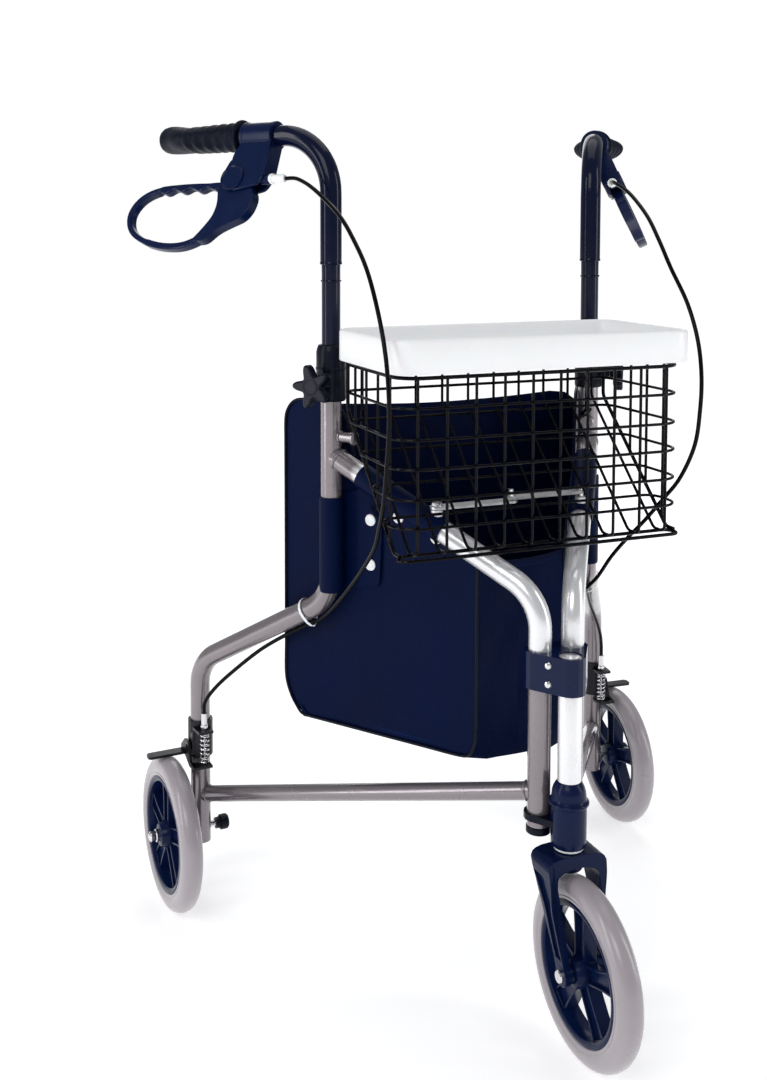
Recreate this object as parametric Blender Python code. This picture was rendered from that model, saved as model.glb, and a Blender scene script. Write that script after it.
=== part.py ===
"""Three-wheeled folding walker: separate solids in one frame, metres, +Z up.

Front (the caster) is -Y and the user stands at +Y. "right" and "left" are the
user's, so right is -X. Each side frame is described in its own upright plane by
t (along the plane, from the hinge tube towards the rear), n (outward from the
plane) and z.
"""

import math

import bmesh
import bpy
from mathutils import Matrix, Vector

MM = 0.001
COLLECTION = "tri_walker"

# ---- main dimensions, millimetres -----------------------------------------
HEAD_Y = -187.0            # axis of the head tube
HINGE_X, HINGE_Y = 20.0, -158.0   # axis of each side frame's hinge tube
HALF_ANGLE = math.radians(35.0)   # side frame to the centre plane, opened out
TUBE_R = 12.5
POST_T = 270.0             # post, along the frame plane
LEG_T = 474.0              # rear leg
POST_TOP = 716.0
LEG_BOTTOM = 78.0
HINGE_BOTTOM = 226.0
RAIL_FRONT_Z, RAIL_REAR_Z = 262.0, 139.0
BORE_R = 11.3              # post bore
INNER_R = 11.0             # handle tube where it slides
HANDLE_BOTTOM = 575.0
SLEEVE_Z = 824.0           # where the handle tube steps up
GRIP_Z = 975.0
GRIP_T0, GRIP_T1 = 397.0, 525.0
LEVER_TILT = math.radians(25.0)   # brake lever leans outward from straight down

WHEEL_R = 95.0
WHEEL_HALF_W = 15.5
RIM_R = 71.0
REAR_X, REAR_Y = 331.0, 227.57
TOE_IN = math.radians(4.0)
CASTER_Y = -223.0          # front axle
SEG = 16
KNOB_POINTS = 40


# ---- frame helpers ----------------------------------------------------------
def frame_point(side, t, n, z):
    """Point of a side frame's plane in millimetres; side is -1 right, +1 left."""
    sin_a, cos_a = math.sin(HALF_ANGLE), math.cos(HALF_ANGLE)
    x = HINGE_X + sin_a * t + cos_a * n
    y = HINGE_Y + cos_a * t - sin_a * n
    return Vector((side * x, y, z))


def frame_map(side):
    return lambda t, n, z: frame_point(side, t, n, z)


def lever_map(side):
    """(t, q, p): q down from the grip axis in the lever's leaning plane, p across it."""
    s, c = math.sin(LEVER_TILT), math.cos(LEVER_TILT)
    return lambda t, q, p: frame_point(side, t, q * s + p * c, GRIP_Z - q * c + p * s)


def wheel_map(centre, yaw):
    """(x, y, z) about a wheel's axle, x being outward along the axle."""
    c, s = math.cos(yaw), math.sin(yaw)
    return lambda x, y, z: Vector((centre[0] + c * x - s * y,
                                   centre[1] + s * x + c * y,
                                   centre[2] + z))


def world_map():
    return lambda x, y, z: Vector((x, y, z))


# ---- materials and objects ---------------------------------------------------
def clear_scene():
    for obj in list(bpy.data.objects):
        bpy.data.objects.remove(obj)
    for mesh in list(bpy.data.meshes):
        bpy.data.meshes.remove(mesh)


def make_material(name, colour, metallic, roughness):
    material = bpy.data.materials.new(name)
    material.use_nodes = True
    shader = material.node_tree.nodes["Principled BSDF"]
    shader.inputs["Base Color"].default_value = (*colour, 1.0)
    shader.inputs["Metallic"].default_value = metallic
    shader.inputs["Roughness"].default_value = roughness
    material.diffuse_color = (*colour, 1.0)
    return material


LOOKS = {
    "frame": ((0.30, 0.27, 0.29), 0.8, 0.32),
    "silver": ((0.80, 0.80, 0.81), 0.9, 0.25),
    "handle": ((0.02, 0.022, 0.045), 0.5, 0.2),
    "navy": ((0.015, 0.02, 0.06), 0.0, 0.35),
    "black": ((0.012, 0.012, 0.015), 0.0, 0.5),
    "tyre": ((0.42, 0.38, 0.41), 0.0, 0.4),
    "chrome": ((0.85, 0.85, 0.86), 1.0, 0.15),
    "white": ((0.9, 0.9, 0.9), 0.0, 0.35),
    "vinyl": ((0.01, 0.014, 0.04), 0.0, 0.45),
}


def signed_volume(verts, faces):
    total = 0.0
    for face in faces:
        a = verts[face[0]]
        for b, c in zip(face[1:-1], face[2:]):
            total += a.dot(verts[b].cross(verts[c]))
    return total / 6.0


def make_object(name, shape, look):
    """Add a closed mesh to the collection, turned outward, with its own material."""
    verts, faces = shape
    if signed_volume(verts, faces) < 0:
        faces = [tuple(reversed(face)) for face in faces]
    mesh = bpy.data.meshes.new(name)
    mesh.from_pydata([tuple(v) for v in verts], [], faces)
    mesh.update()
    obj = bpy.data.objects.new(name, mesh)
    bpy.data.collections[COLLECTION].objects.link(obj)
    obj.data.materials.append(make_material(name + "_look", *LOOKS[look]))
    return obj


def weld_specks(mesh):
    """Merge vertices closer than a micrometre that a Boolean can leave."""
    work = bmesh.new()
    work.from_mesh(mesh)
    bmesh.ops.remove_doubles(work, verts=work.verts, dist=0.001)
    bmesh.ops.dissolve_degenerate(work, edges=work.edges, dist=0.001)
    work.to_mesh(mesh)
    work.free()


def cut_or_join(obj, shapes, operation):
    """Apply one exact Boolean per shape and keep the result as the object's mesh."""
    for index, shape in enumerate(shapes):
        tool = make_object(f"{obj.name}_tool_{index}", shape, "black")
        modifier = obj.modifiers.new("boolean", "BOOLEAN")
        modifier.object = tool
        modifier.operation = operation
        modifier.solver = "EXACT"
        graph = bpy.context.evaluated_depsgraph_get()
        graph.update()
        result = bpy.data.meshes.new_from_object(obj.evaluated_get(graph))
        obj.modifiers.clear()
        old = obj.data
        obj.data = result
        while len(obj.data.materials) > 1:
            obj.data.materials.pop()
        for polygon in obj.data.polygons:
            polygon.material_index = 0
        bpy.data.objects.remove(tool)
        bpy.data.meshes.remove(old)
        weld_specks(obj.data)
    return obj


# ---- shapes: each returns (verts, faces) of one closed surface ---------------
def lathe(profile, place, axis="z", origin=(0.0, 0.0, 0.0), segments=SEG, closed=False):
    """Revolve (radius, height) points. An open profile starts and ends on the axis."""
    order = {"z": (0, 1, 2), "x": (1, 2, 0), "y": (2, 0, 1)}[axis]
    verts, rings = [], []
    for radius, height in profile:
        count = 1 if radius < 1e-6 else segments
        ring = []
        for k in range(count):
            angle = 2.0 * math.pi * k / segments
            local = (radius * math.cos(angle), radius * math.sin(angle), height)
            xyz = [0.0, 0.0, 0.0]
            for value, index in zip(local, order):
                xyz[index] = value
            ring.append(len(verts))
            verts.append(place(*(xyz[i] + origin[i] for i in range(3))))
        rings.append(ring)
    faces = []
    pairs = list(zip(rings[:-1], rings[1:]))
    if closed:
        pairs.append((rings[-1], rings[0]))
    for low, high in pairs:
        for k in range(segments):
            j = (k + 1) % segments
            if len(low) == 1 and len(high) > 1:
                faces.append((low[0], high[j], high[k]))
            elif len(high) == 1 and len(low) > 1:
                faces.append((low[k], low[j], high[0]))
            elif len(low) > 1:
                faces.append((low[k], low[j], high[j], high[k]))
    return verts, faces


def rod(radius, low, high, place, axis="z", origin=(0.0, 0.0, 0.0), segments=SEG, chamfer=0.0):
    profile = [(0.0, low), (radius - chamfer, low)]
    if chamfer:
        profile += [(radius, low + chamfer), (radius, high - chamfer)]
    profile += [(radius - chamfer, high), (0.0, high)]
    return lathe(profile, place, axis, origin, segments)


def sleeve(inner, outer, low, high, place, axis="z", origin=(0.0, 0.0, 0.0), segments=SEG):
    profile = [(inner, low), (outer, low), (outer, high), (inner, high)]
    return lathe(profile, place, axis, origin, segments, closed=True)


def fillet_path(corners, radii, steps=6):
    """Polyline through 3-D corners with rounded bends."""
    points = [Vector(corners[0])]
    for index in range(1, len(corners) - 1):
        a, b, c = (Vector(corners[index + k]) for k in (-1, 0, 1))
        u, v = (a - b).normalized(), (c - b).normalized()
        half = u.angle(v) / 2.0
        radius = radii[index - 1]
        reach = radius / math.tan(half)
        centre = b + (u + v).normalized() * (radius / math.sin(half))
        start, end = b + u * reach - centre, b + v * reach - centre
        turn = start.angle(end)
        for k in range(steps + 1):
            f = k / steps
            points.append(centre + (start * math.sin((1 - f) * turn) + end * math.sin(f * turn))
                          / math.sin(turn))
    points.append(Vector(corners[-1]))
    return points


def smooth_path(points, per_span=4):
    """Catmull-Rom curve through 3-D points."""
    pts = [Vector(p) for p in points]
    pts = [pts[0] * 2 - pts[1]] + pts + [pts[-1] * 2 - pts[-2]]
    result = []
    for i in range(1, len(pts) - 2):
        p0, p1, p2, p3 = pts[i - 1:i + 3]
        for k in range(per_span):
            f = k / per_span
            result.append(0.5 * (2 * p1 + (p2 - p0) * f + (2 * p0 - 5 * p1 + 4 * p2 - p3) * f ** 2
                                 + (3 * p1 - p0 - 3 * p2 + p3) * f ** 3))
    result.append(pts[-2])
    return result


def sweep(path, place, radius, segments=SEG, hint=(0.0, 1.0, 0.0), closed=False):
    """Sweep an ellipse along a path in local units.

    radius is a number, or a function of the ring index giving (along the hint
    side, across it).
    """
    count = len(path)
    verts, rings = [], []
    side = Vector(hint)
    for i, point in enumerate(path):
        before = path[(i - 1) % count] if closed else path[max(i - 1, 0)]
        after = path[(i + 1) % count] if closed else path[min(i + 1, count - 1)]
        tangent = (after - before).normalized()
        side = (side - tangent * side.dot(tangent)).normalized()
        other = tangent.cross(side)
        size = radius(i) if callable(radius) else (radius, radius)
        ring = []
        for k in range(segments):
            angle = 2.0 * math.pi * k / segments
            local = point + side * (size[0] * math.cos(angle)) + other * (size[1] * math.sin(angle))
            ring.append(len(verts))
            verts.append(place(*local))
        rings.append(ring)
    faces = []
    spans = list(zip(rings[:-1], rings[1:]))
    if closed:
        spans.append((rings[-1], rings[0]))
    for low, high in spans:
        for k in range(segments):
            j = (k + 1) % segments
            faces.append((low[k], low[j], high[j], high[k]))
    if not closed:
        faces.append(tuple(reversed(rings[0])))
        faces.append(tuple(rings[-1]))
    return verts, faces


def plate(outline, low, high, place, axes=(0, 1, 2)):
    """Extrude a 2-D outline along the third axis."""
    verts = []
    for level in (low, high):
        for u, v in outline:
            xyz = [0.0, 0.0, 0.0]
            for value, index in zip((u, v, level), axes):
                xyz[index] = value
            verts.append(place(*xyz))
    count = len(outline)
    faces = [tuple(range(count - 1, -1, -1)), tuple(range(count, 2 * count))]
    for k in range(count):
        j = (k + 1) % count
        faces.append((k, j, count + j, count + k))
    return verts, faces


def circle_hull(circles, steps=4):
    """Convex outline round circles (x, y, radius), anticlockwise."""
    cloud = []
    for x, y, r in circles:
        for k in range(steps * 4):
            angle = 2.0 * math.pi * k / (steps * 4)
            cloud.append((x + r * math.cos(angle), y + r * math.sin(angle)))
    cloud.sort()
    hull = []
    for points in (cloud, list(reversed(cloud))):
        chain = []
        for p in points:
            while len(chain) > 1:
                (ax, ay), (bx, by) = chain[-2:]
                if (bx - ax) * (p[1] - ay) - (by - ay) * (p[0] - ax) > 1e-9:
                    break
                chain.pop()
            chain.append(p)
        hull += chain[:-1]
    return hull


def rounded_box_outline(x0, x1, y0, y1, radius, steps=5):
    outline = []
    for cx, cy, start in ((x1 - radius, y1 - radius, 0), (x0 + radius, y1 - radius, 90),
                          (x0 + radius, y0 + radius, 180), (x1 - radius, y0 + radius, 270)):
        for k in range(steps + 1):
            angle = math.radians(start + 90.0 * k / steps)
            outline.append((cx + radius * math.cos(angle), cy + radius * math.sin(angle)))
    return outline


def shell(outer_rings, inner_rings):
    """Open-topped vessel from matching rings of world points, bottom ring first."""
    verts, faces = [], []
    starts = []
    for ring in outer_rings + inner_rings:
        starts.append(len(verts))
        verts += ring
    count = len(outer_rings[0])
    deep = len(outer_rings)

    def band(a, b):
        for k in range(count):
            j = (k + 1) % count
            faces.append((a + k, a + j, b + j, b + k))

    for i in range(deep - 1):
        band(starts[i], starts[i + 1])
    band(starts[deep - 1], starts[-1])
    for i in range(len(inner_rings) - 1, 0, -1):
        band(starts[deep + i], starts[deep + i - 1])
    faces.append(tuple(reversed(range(starts[0], starts[0] + count))))
    faces.append(tuple(range(starts[deep], starts[deep] + count)))
    return verts, faces


# ---- wheels -----------------------------------------------------------------
def tyre(name, place):
    profile = []
    steps = 8
    mid, half_h = (WHEEL_R + RIM_R + 0.4) / 2.0, (WHEEL_R - RIM_R - 0.4) / 2.0
    for k in range(steps):
        angle = 2.0 * math.pi * k / steps
        c, s = math.cos(angle), math.sin(angle)
        flat = 0.8
        radius = mid + half_h * math.copysign(abs(c) ** flat, c)
        width = (WHEEL_HALF_W - 2.0) * math.copysign(abs(s) ** flat, s)
        profile.append((radius, width))
    return make_object(name, lathe(profile, place, "x", segments=32, closed=True), "tyre")


def spoked_wheel(name, place, bore):
    rim = lathe([(RIM_R - 5.0, -12.0), (RIM_R, -12.0), (RIM_R, 12.0), (RIM_R - 5.0, 12.0)],
                place, "x", segments=32, closed=True)
    wheel = make_object(name, rim, "navy")
    hub = rod(17.0, -17.0, 17.0, place, "x", chamfer=2.0)
    spokes = []
    for k in range(5):
        angle = 2.0 * math.pi * k / 5 + math.pi / 2
        c, s = math.cos(angle), math.sin(angle)
        outline = []
        for r, w in ((8.0, 9.0), (RIM_R - 2.5, 14.0), (RIM_R - 2.5, -14.0), (8.0, -9.0)):
            outline.append((r * c - w * s, r * s + w * c))
        spokes.append(plate(outline, -5.0, 5.0, place, (1, 2, 0)))
    cut_or_join(wheel, [hub] + spokes, "UNION")
    cut_or_join(wheel, [rod(bore, -30.0, 30.0, place, "x", segments=16)], "DIFFERENCE")
    return wheel


# ---- centre: head tube, clamps and caster -----------------------------------
def build_centre():
    place = world_map()
    head = (0.0, HEAD_Y, 0.0)
    make_object("head_tube", rod(TUBE_R, 243.0, 417.0, place, origin=head, chamfer=1.0), "silver")

    hinges = [(-HINGE_X, HINGE_Y), (HINGE_X, HINGE_Y)]
    for name, low, high, wall in (("upper_clamp", 378.0, 418.0, 4.0),
                                  ("lower_hinge_plate", 234.0, 241.0, 3.5)):
        outline = circle_hull([(0.0, HEAD_Y, TUBE_R + wall)]
                              + [(x, y, TUBE_R + wall) for x, y in hinges])
        clamp = make_object(name, plate(outline, low, high, place), "navy")
        holes = [rod(TUBE_R + 0.3, low - 5.0, high + 5.0, place, origin=(x, y, 0.0))
                 for x, y in hinges]
        if name == "upper_clamp":
            holes.append(rod(TUBE_R + 0.3, low - 5.0, high + 5.0, place, origin=head))
        else:
            holes.append(rod(8.3, low - 5.0, high + 5.0, place, origin=head))
        cut_or_join(clamp, holes, "DIFFERENCE")

    # two rivets through the band, on the face between head tube and right hinge tube
    mid = Vector(((-HINGE_X) / 2.0, (HEAD_Y + HINGE_Y) / 2.0, 0.0))
    out = Vector((-(HINGE_Y - HEAD_Y), -HINGE_X, 0.0)).normalized()
    base = mid + out * (TUBE_R + 4.3)
    across = Vector((-out.y, out.x, 0.0))

    def rivet_place(x, y, z):
        spot = base + across * x + out * z
        return Vector((spot.x, spot.y, y))

    for name, level in (("clamp_rivet_lower", 388.0), ("clamp_rivet_upper", 408.0)):
        make_object(name, lathe([(0.0, 0.0), (4.0, 0.0), (3.2, 1.4), (0.0, 2.2)], rivet_place,
                                "z", (0.0, level, 0.0), 12), "chrome")

    housing = [(0.0, 213.6), (17.0, 213.6), (19.0, 216.0), (19.0, 233.5), (8.0, 233.5),
               (8.0, 241.5), (19.0, 241.5), (19.0, 257.0), (21.5, 258.5), (21.5, 262.5),
               (19.0, 264.0), (18.0, 274.0), (14.5, 281.0), (12.9, 283.5), (12.9, 242.5),
               (0.0, 242.5)]
    make_object("caster_housing", lathe(housing, place, origin=head), "navy")
    make_object("caster_washer", rod(16.0, 210.6, 213.2, place, origin=head), "white")

    # fork: crown under the washer, two legs leaning forward to the axle
    def fork_section(z, y0, y1, x0, x1):
        return [(x0, y0, z), (x1, y0, z), (x1, y1, z), (x0, y1, z)]

    crown = plate(rounded_box_outline(-36.0, 36.0, HEAD_Y - 22.0, HEAD_Y + 18.0, 10.0),
                  197.0, 210.2, place)
    fork = make_object("caster_fork", crown, "navy")
    legs = []
    for sign in (-1, 1):
        rings = [fork_section(203.0, HEAD_Y - 21.0, HEAD_Y + 15.0, sign * 24.0, sign * 35.5),
                 fork_section(180.0, HEAD_Y - 24.0, HEAD_Y + 10.0, sign * 24.5, sign * 33.5),
                 fork_section(150.0, HEAD_Y - 32.0, HEAD_Y - 8.0, sign * 24.0, sign * 31.0),
                 fork_section(112.0, CASTER_Y - 10.0, CASTER_Y + 9.0, sign * 21.0, sign * 28.0),
                 fork_section(95.0, CASTER_Y - 11.0, CASTER_Y + 11.0, sign * 20.0, sign * 27.0),
                 fork_section(85.0, CASTER_Y - 6.0, CASTER_Y + 6.0, sign * 20.0, sign * 27.0)]
        verts = [place(*p) for ring in rings for p in ring]
        faces = [(3, 2, 1, 0), tuple(range(len(verts) - 4, len(verts)))]
        for i in range(len(rings) - 1):
            for k in range(4):
                j = (k + 1) % 4
                faces.append((4 * i + k, 4 * i + j, 4 * i + 4 + j, 4 * i + 4 + k))
        legs.append(outward((verts, faces)))
    cut_or_join(fork, legs, "UNION")
    axle = (0.0, CASTER_Y, WHEEL_R)
    cut_or_join(fork, [rod(3.4, -60.0, 60.0, place, "x", axle, 12)], "DIFFERENCE")

    bolt = [(0.0, -33.0), (6.0, -33.0), (6.5, -31.5), (6.5, -27.4), (3.0, -27.4), (3.0, 27.4),
            (6.5, 27.4), (6.5, 31.5), (6.0, 33.0), (0.0, 33.0)]
    make_object("front_axle_bolt", lathe(bolt, place, "x", axle, 12), "chrome")
    wheel_place = wheel_map(axle, 0.0)
    spoked_wheel("front_wheel", wheel_place, 3.4)
    tyre("front_tyre", wheel_place)


def outward(shape):
    verts, faces = shape
    if signed_volume(verts, faces) < 0:
        faces = [tuple(reversed(face)) for face in faces]
    return verts, faces


# ---- one side -----------------------------------------------------------------
def build_frame(side, tag):
    place = frame_map(side)
    post = fillet_path([(POST_T, 0, POST_TOP), (POST_T, 0, 428.0), (LEG_T, 0, 312.0),
                        (LEG_T, 0, LEG_BOTTOM)], (55.0, 50.0))
    frame = make_object(f"{tag}_side_frame", outward(sweep(post, place, TUBE_R)), "frame")
    front = fillet_path([(0, 0, HINGE_BOTTOM), (0, 0, 473.0), (POST_T - 5.0, 0, 598.0)], (55.0,))
    rail = [Vector((t, 0.0, RAIL_FRONT_Z + (RAIL_REAR_Z - RAIL_FRONT_Z) * t / LEG_T))
            for t in (3.0, 425.0, 448.0, 470.0)]
    sizes = ((10.0, 10.0), (10.0, 10.0), (7.0, 11.5), (6.0, 12.0))
    stud = [(POST_T - 4.0, 0.0, 622.0), (POST_T - 34.0, 0.0, 622.0)]
    shapes = [outward(sweep(front, place, TUBE_R)),
              outward(sweep(rail, place, lambda i: sizes[i], 12)),
              outward(sweep([Vector(p) for p in stud], place, 6.0, 12))]
    shapes.append(outward(rod(7.0, 528.0, 551.0, place, origin=(LINK_T, 0.0, 0.0), segments=12)))
    cut_or_join(frame, shapes, "UNION")
    bore = rod(BORE_R, 480.0, POST_TOP + 10.0, place, origin=(POST_T, 0.0, 0.0))
    axle_hole = rod(4.4, -70.0, -15.0, corner_map(side), "x", (0.0, 0.0, WHEEL_R), 12)
    cut_or_join(frame, [outward(bore), outward(axle_hole)], "DIFFERENCE")

    make_object(f"{tag}_front_tube_cap",
                rod(13.4, 218.0, HINGE_BOTTOM - 0.3, place, chamfer=1.5), "black")


def build_handle(side, tag):
    place = frame_map(side)
    origin = (POST_T, 0.0, 0.0)
    # collar: wraps the post top, boss outward for the knob
    collar = [(13.0, 664.0), (16.5, 664.0), (17.5, 668.0), (17.5, 722.0), (15.0, 730.0),
              (11.4, 730.0), (11.4, 716.4), (13.0, 716.4)]
    body = make_object(f"{tag}_height_collar",
                       outward(lathe(collar, place, origin=origin, closed=True)), "black")
    boss = sweep([Vector((POST_T, 15.0, 684.0)), Vector((POST_T, 26.0, 684.0))], place, 9.0, 16,
                 hint=(1.0, 0.0, 0.0))
    cut_or_join(body, [outward(boss)], "UNION")

    outline = []
    for k in range(KNOB_POINTS):
        angle = 2.0 * math.pi * k / KNOB_POINTS
        outline.append((angle, 18.0 + 7.5 * math.cos(5 * angle)))
    rings = []
    for depth, scale in ((26.4, 0.42), (31.0, 1.0), (40.0, 1.0), (43.0, 0.85)):
        rings.append([place(POST_T + r * scale * math.cos(a), depth, 684.0 + r * scale * math.sin(a))
                      for a, r in outline])
    verts = [p for ring in rings for p in ring]
    faces = [tuple(reversed(range(KNOB_POINTS))),
             tuple(range(len(verts) - KNOB_POINTS, len(verts)))]
    for i in range(len(rings) - 1):
        low, high = KNOB_POINTS * i, KNOB_POINTS * (i + 1)
        for k in range(KNOB_POINTS):
            j = (k + 1) % KNOB_POINTS
            faces.append((low + k, low + j, high + j, high + k))
    make_object(f"{tag}_star_knob", outward((verts, faces)), "black")

    # handle tube: thin below, stepped up, bent back to the grip
    rising = [Vector((POST_T, 0.0, z)) for z in (HANDLE_BOTTOM, SLEEVE_Z - 1.0, SLEEVE_Z)]
    top = fillet_path([(POST_T, 0, SLEEVE_Z + 1.0), (POST_T, 0, GRIP_Z), (518.0, 0, GRIP_Z)], (68.0,), 7)
    path = rising + top
    make_object(f"{tag}_handle_tube",
                outward(sweep(path, place, lambda i: (INNER_R,) * 2 if i < 2 else (TUBE_R,) * 2)),
                "handle")

    outer = [(0.0, 0.0), (19.0, 0.0), (19.5, 2.0), (19.0, 4.5), (16.0, 7.0)]
    for k in range(5):
        start = 14.0 + 20.0 * k
        outer += [(16.0, start), (17.6, start + 8.0)]
    outer += [(17.5, 117.0), (20.0, 121.0), (20.0, 125.0), (17.0, 128.0), (0.0, 128.0)]
    axis = (0.0, 0.0, GRIP_Z)
    def palm_rest(t, n, z):
        """Widens the grip sideways into a palm rest towards the user's end."""
        h = min(max(t - GRIP_T0, 14.0), 117.0)
        rise = (h - 14.0) / 66.0 if h < 80.0 else (117.0 - h) / 37.0
        widen = rise * rise * (3.0 - 2.0 * rise)
        return place(t, n * (1.0 + 0.95 * widen), z)

    grip = lathe([(r, GRIP_T0 + h) for r, h in outer], palm_rest, "x", axis)
    body = make_object(f"{tag}_grip", outward(grip), "black")
    bore = rod(12.8, GRIP_T0 - 5.0, GRIP_T0 + 121.5, place, "x", axis)
    cut_or_join(body, [outward(bore)], "DIFFERENCE")


# brake lever assembly, in the lever's own leaning plane (t, q, p)
PIVOT_T, PIVOT_Q = 388.0, 60.0


def build_lever(side, tag):
    place = lever_map(side)
    clamp = sleeve(12.8, 17.5, 347.0, 392.0, place, "x")
    housing = make_object(f"{tag}_brake_housing", outward(clamp), "navy")
    block = [(349.0, 14.5), (390.0, 14.5), (398.0, 30.0), (396.0, 43.0), (352.0, 43.0), (345.0, 30.0)]
    cheek = [(350.0, 36.0), (397.0, 36.0), (403.0, 52.0), (401.0, 66.0), (392.0, 75.0),
             (378.0, 75.0), (350.0, 68.0), (344.0, 58.0)]
    shapes = [plate(block, -10.5, 10.5, place),
              plate(cheek, -10.5, -7.0, place),
              plate(cheek, 7.0, 10.5, place),
              plate([(345.0, 40.0), (363.0, 40.0), (363.0, 69.0), (351.0, 67.0), (345.0, 58.0)],
                    -8.0, 8.0, place),
              lathe([(0.0, 9.0), (10.5, 9.0), (10.5, 12.0), (9.0, 13.0), (0.0, 13.0)], place, "z",
                    (PIVOT_T, PIVOT_Q, 0.0), 16),
              lathe([(0.0, -13.0), (9.0, -13.0), (10.5, -12.0), (10.5, -9.0), (0.0, -9.0)], place,
                    "z", (PIVOT_T, PIVOT_Q, 0.0), 16)]
    cut_or_join(housing, [outward(s) for s in shapes], "UNION")
    seat = sweep([Vector((339.0, 57.0, 0.0)), Vector((352.3, 57.0, 0.0))], place, 5.5, 12)
    cut_or_join(housing, [outward(seat)], "DIFFERENCE")

    loop = [(397.0, 71.0), (430.0, 69.0), (470.0, 69.0), (510.0, 73.0), (536.0, 86.0),
            (546.0, 107.0), (536.0, 129.0), (508.0, 145.0), (465.0, 153.0), (430.0, 153.0),
            (404.0, 138.0), (394.0, 105.0)]
    ring = [Vector((t, q, 0.0)) for t, q in loop]
    closed = ring[-2:] + ring + ring[:3]
    curve = smooth_path(closed, 2)[4:4 + 24]
    body = sweep(curve, place, lambda i: (6.3, 4.2), 8, hint=(0.0, 0.0, 1.0), closed=True)
    lever = make_object(f"{tag}_brake_lever", outward(body), "navy")
    neck = [(381.0, 50.5), (395.0, 50.5), (402.0, 60.0), (402.0, 84.0), (392.0, 86.0),
            (378.0, 66.0)]
    cut_or_join(lever, [outward(plate(neck, -6.4, 6.4, place))], "UNION")

    barrel = [(0.0, 318.0), (4.0, 318.0), (5.0, 320.0), (5.0, 334.0), (6.2, 335.0), (6.2, 338.5),
              (5.0, 339.5), (5.0, 352.0), (0.0, 352.0)]
    adjuster = lathe(barrel, place, "x", (0.0, 57.0, 0.0), 12)
    make_object(f"{tag}_cable_adjuster", outward(adjuster), "white")


CABLE = ((316.8, 24.1, 923.3), (296.0, 29.0, 922.0), (258.0, 48.0, 908.0), (211.0, 70.0, 880.0),
         (180.0, 85.0, 850.0), (156.0, 98.0, 820.0), (131.0, 117.0, 780.0), (115.0, 128.5, 740.0),
         (108.0, 133.0, 700.0), (108.0, 132.0, 660.0), (114.0, 127.0, 620.0), (127.0, 112.0, 580.0),
         (144.0, 93.0, 550.0), (163.0, 73.0, 520.0), (190.0, 52.0, 490.0), (220.0, 33.0, 459.0),
         (255.0, 16.0, 424.0), (282.0, 3.0, 402.3), (300.0, 0.0, 392.8), (340.0, 0.0, 369.5),
         (375.0, 2.0, 346.0), (410.0, 8.0, 316.0), (437.0, 12.0, 290.0), (454.0, 13.1, 268.0),
         (456.3, 13.2, 252.9))
TIE_T = 305.0


def build_cable(side, tag):
    place = frame_map(side)
    path = smooth_path(CABLE, 1)
    make_object(f"{tag}_brake_cable", outward(sweep(path, place, 2.4, 6, hint=(0.3, 1.0, 0.1))),
                "black")
    slope = (312.0 - 428.0) / (LEG_T - POST_T)
    centre_z = 428.0 + slope * (TIE_T - POST_T)
    lean = math.atan(slope)
    ring = []
    for k in range(16):
        angle = 2.0 * math.pi * k / 16
        across, up = 14.4 * math.sin(angle), 14.2 * math.cos(angle)
        if up < -6.0:
            up -= 6.5 * (-up - 6.0) / 8.2
        ring.append(Vector((TIE_T - up * math.sin(lean), across, centre_z + up * math.cos(lean))))
    hint = (math.cos(lean), 0.0, math.sin(lean))
    make_object(f"{tag}_cable_tie",
                outward(sweep(ring, place, lambda i: (1.8, 0.6), 4, hint=hint, closed=True)), "white")


# ---- rear wheel corner ------------------------------------------------------
def corner_map(side):
    """(x outward along the axle, y rearward, z up) from the ground under the rear wheel."""
    s, c = math.sin(TOE_IN), math.cos(TOE_IN)
    return lambda x, y, z: Vector((side * (REAR_X + c * x + s * y), REAR_Y - s * x + c * y, z))


LEG_X, LEG_Y = -39.2, 0.0     # the leg's axis in corner coordinates
SPRING_X, SPRING_Y = -37.0, -22.0
ARM_PIVOT_Y, ARM_PIVOT_Z = -2.0, 204.0


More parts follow.
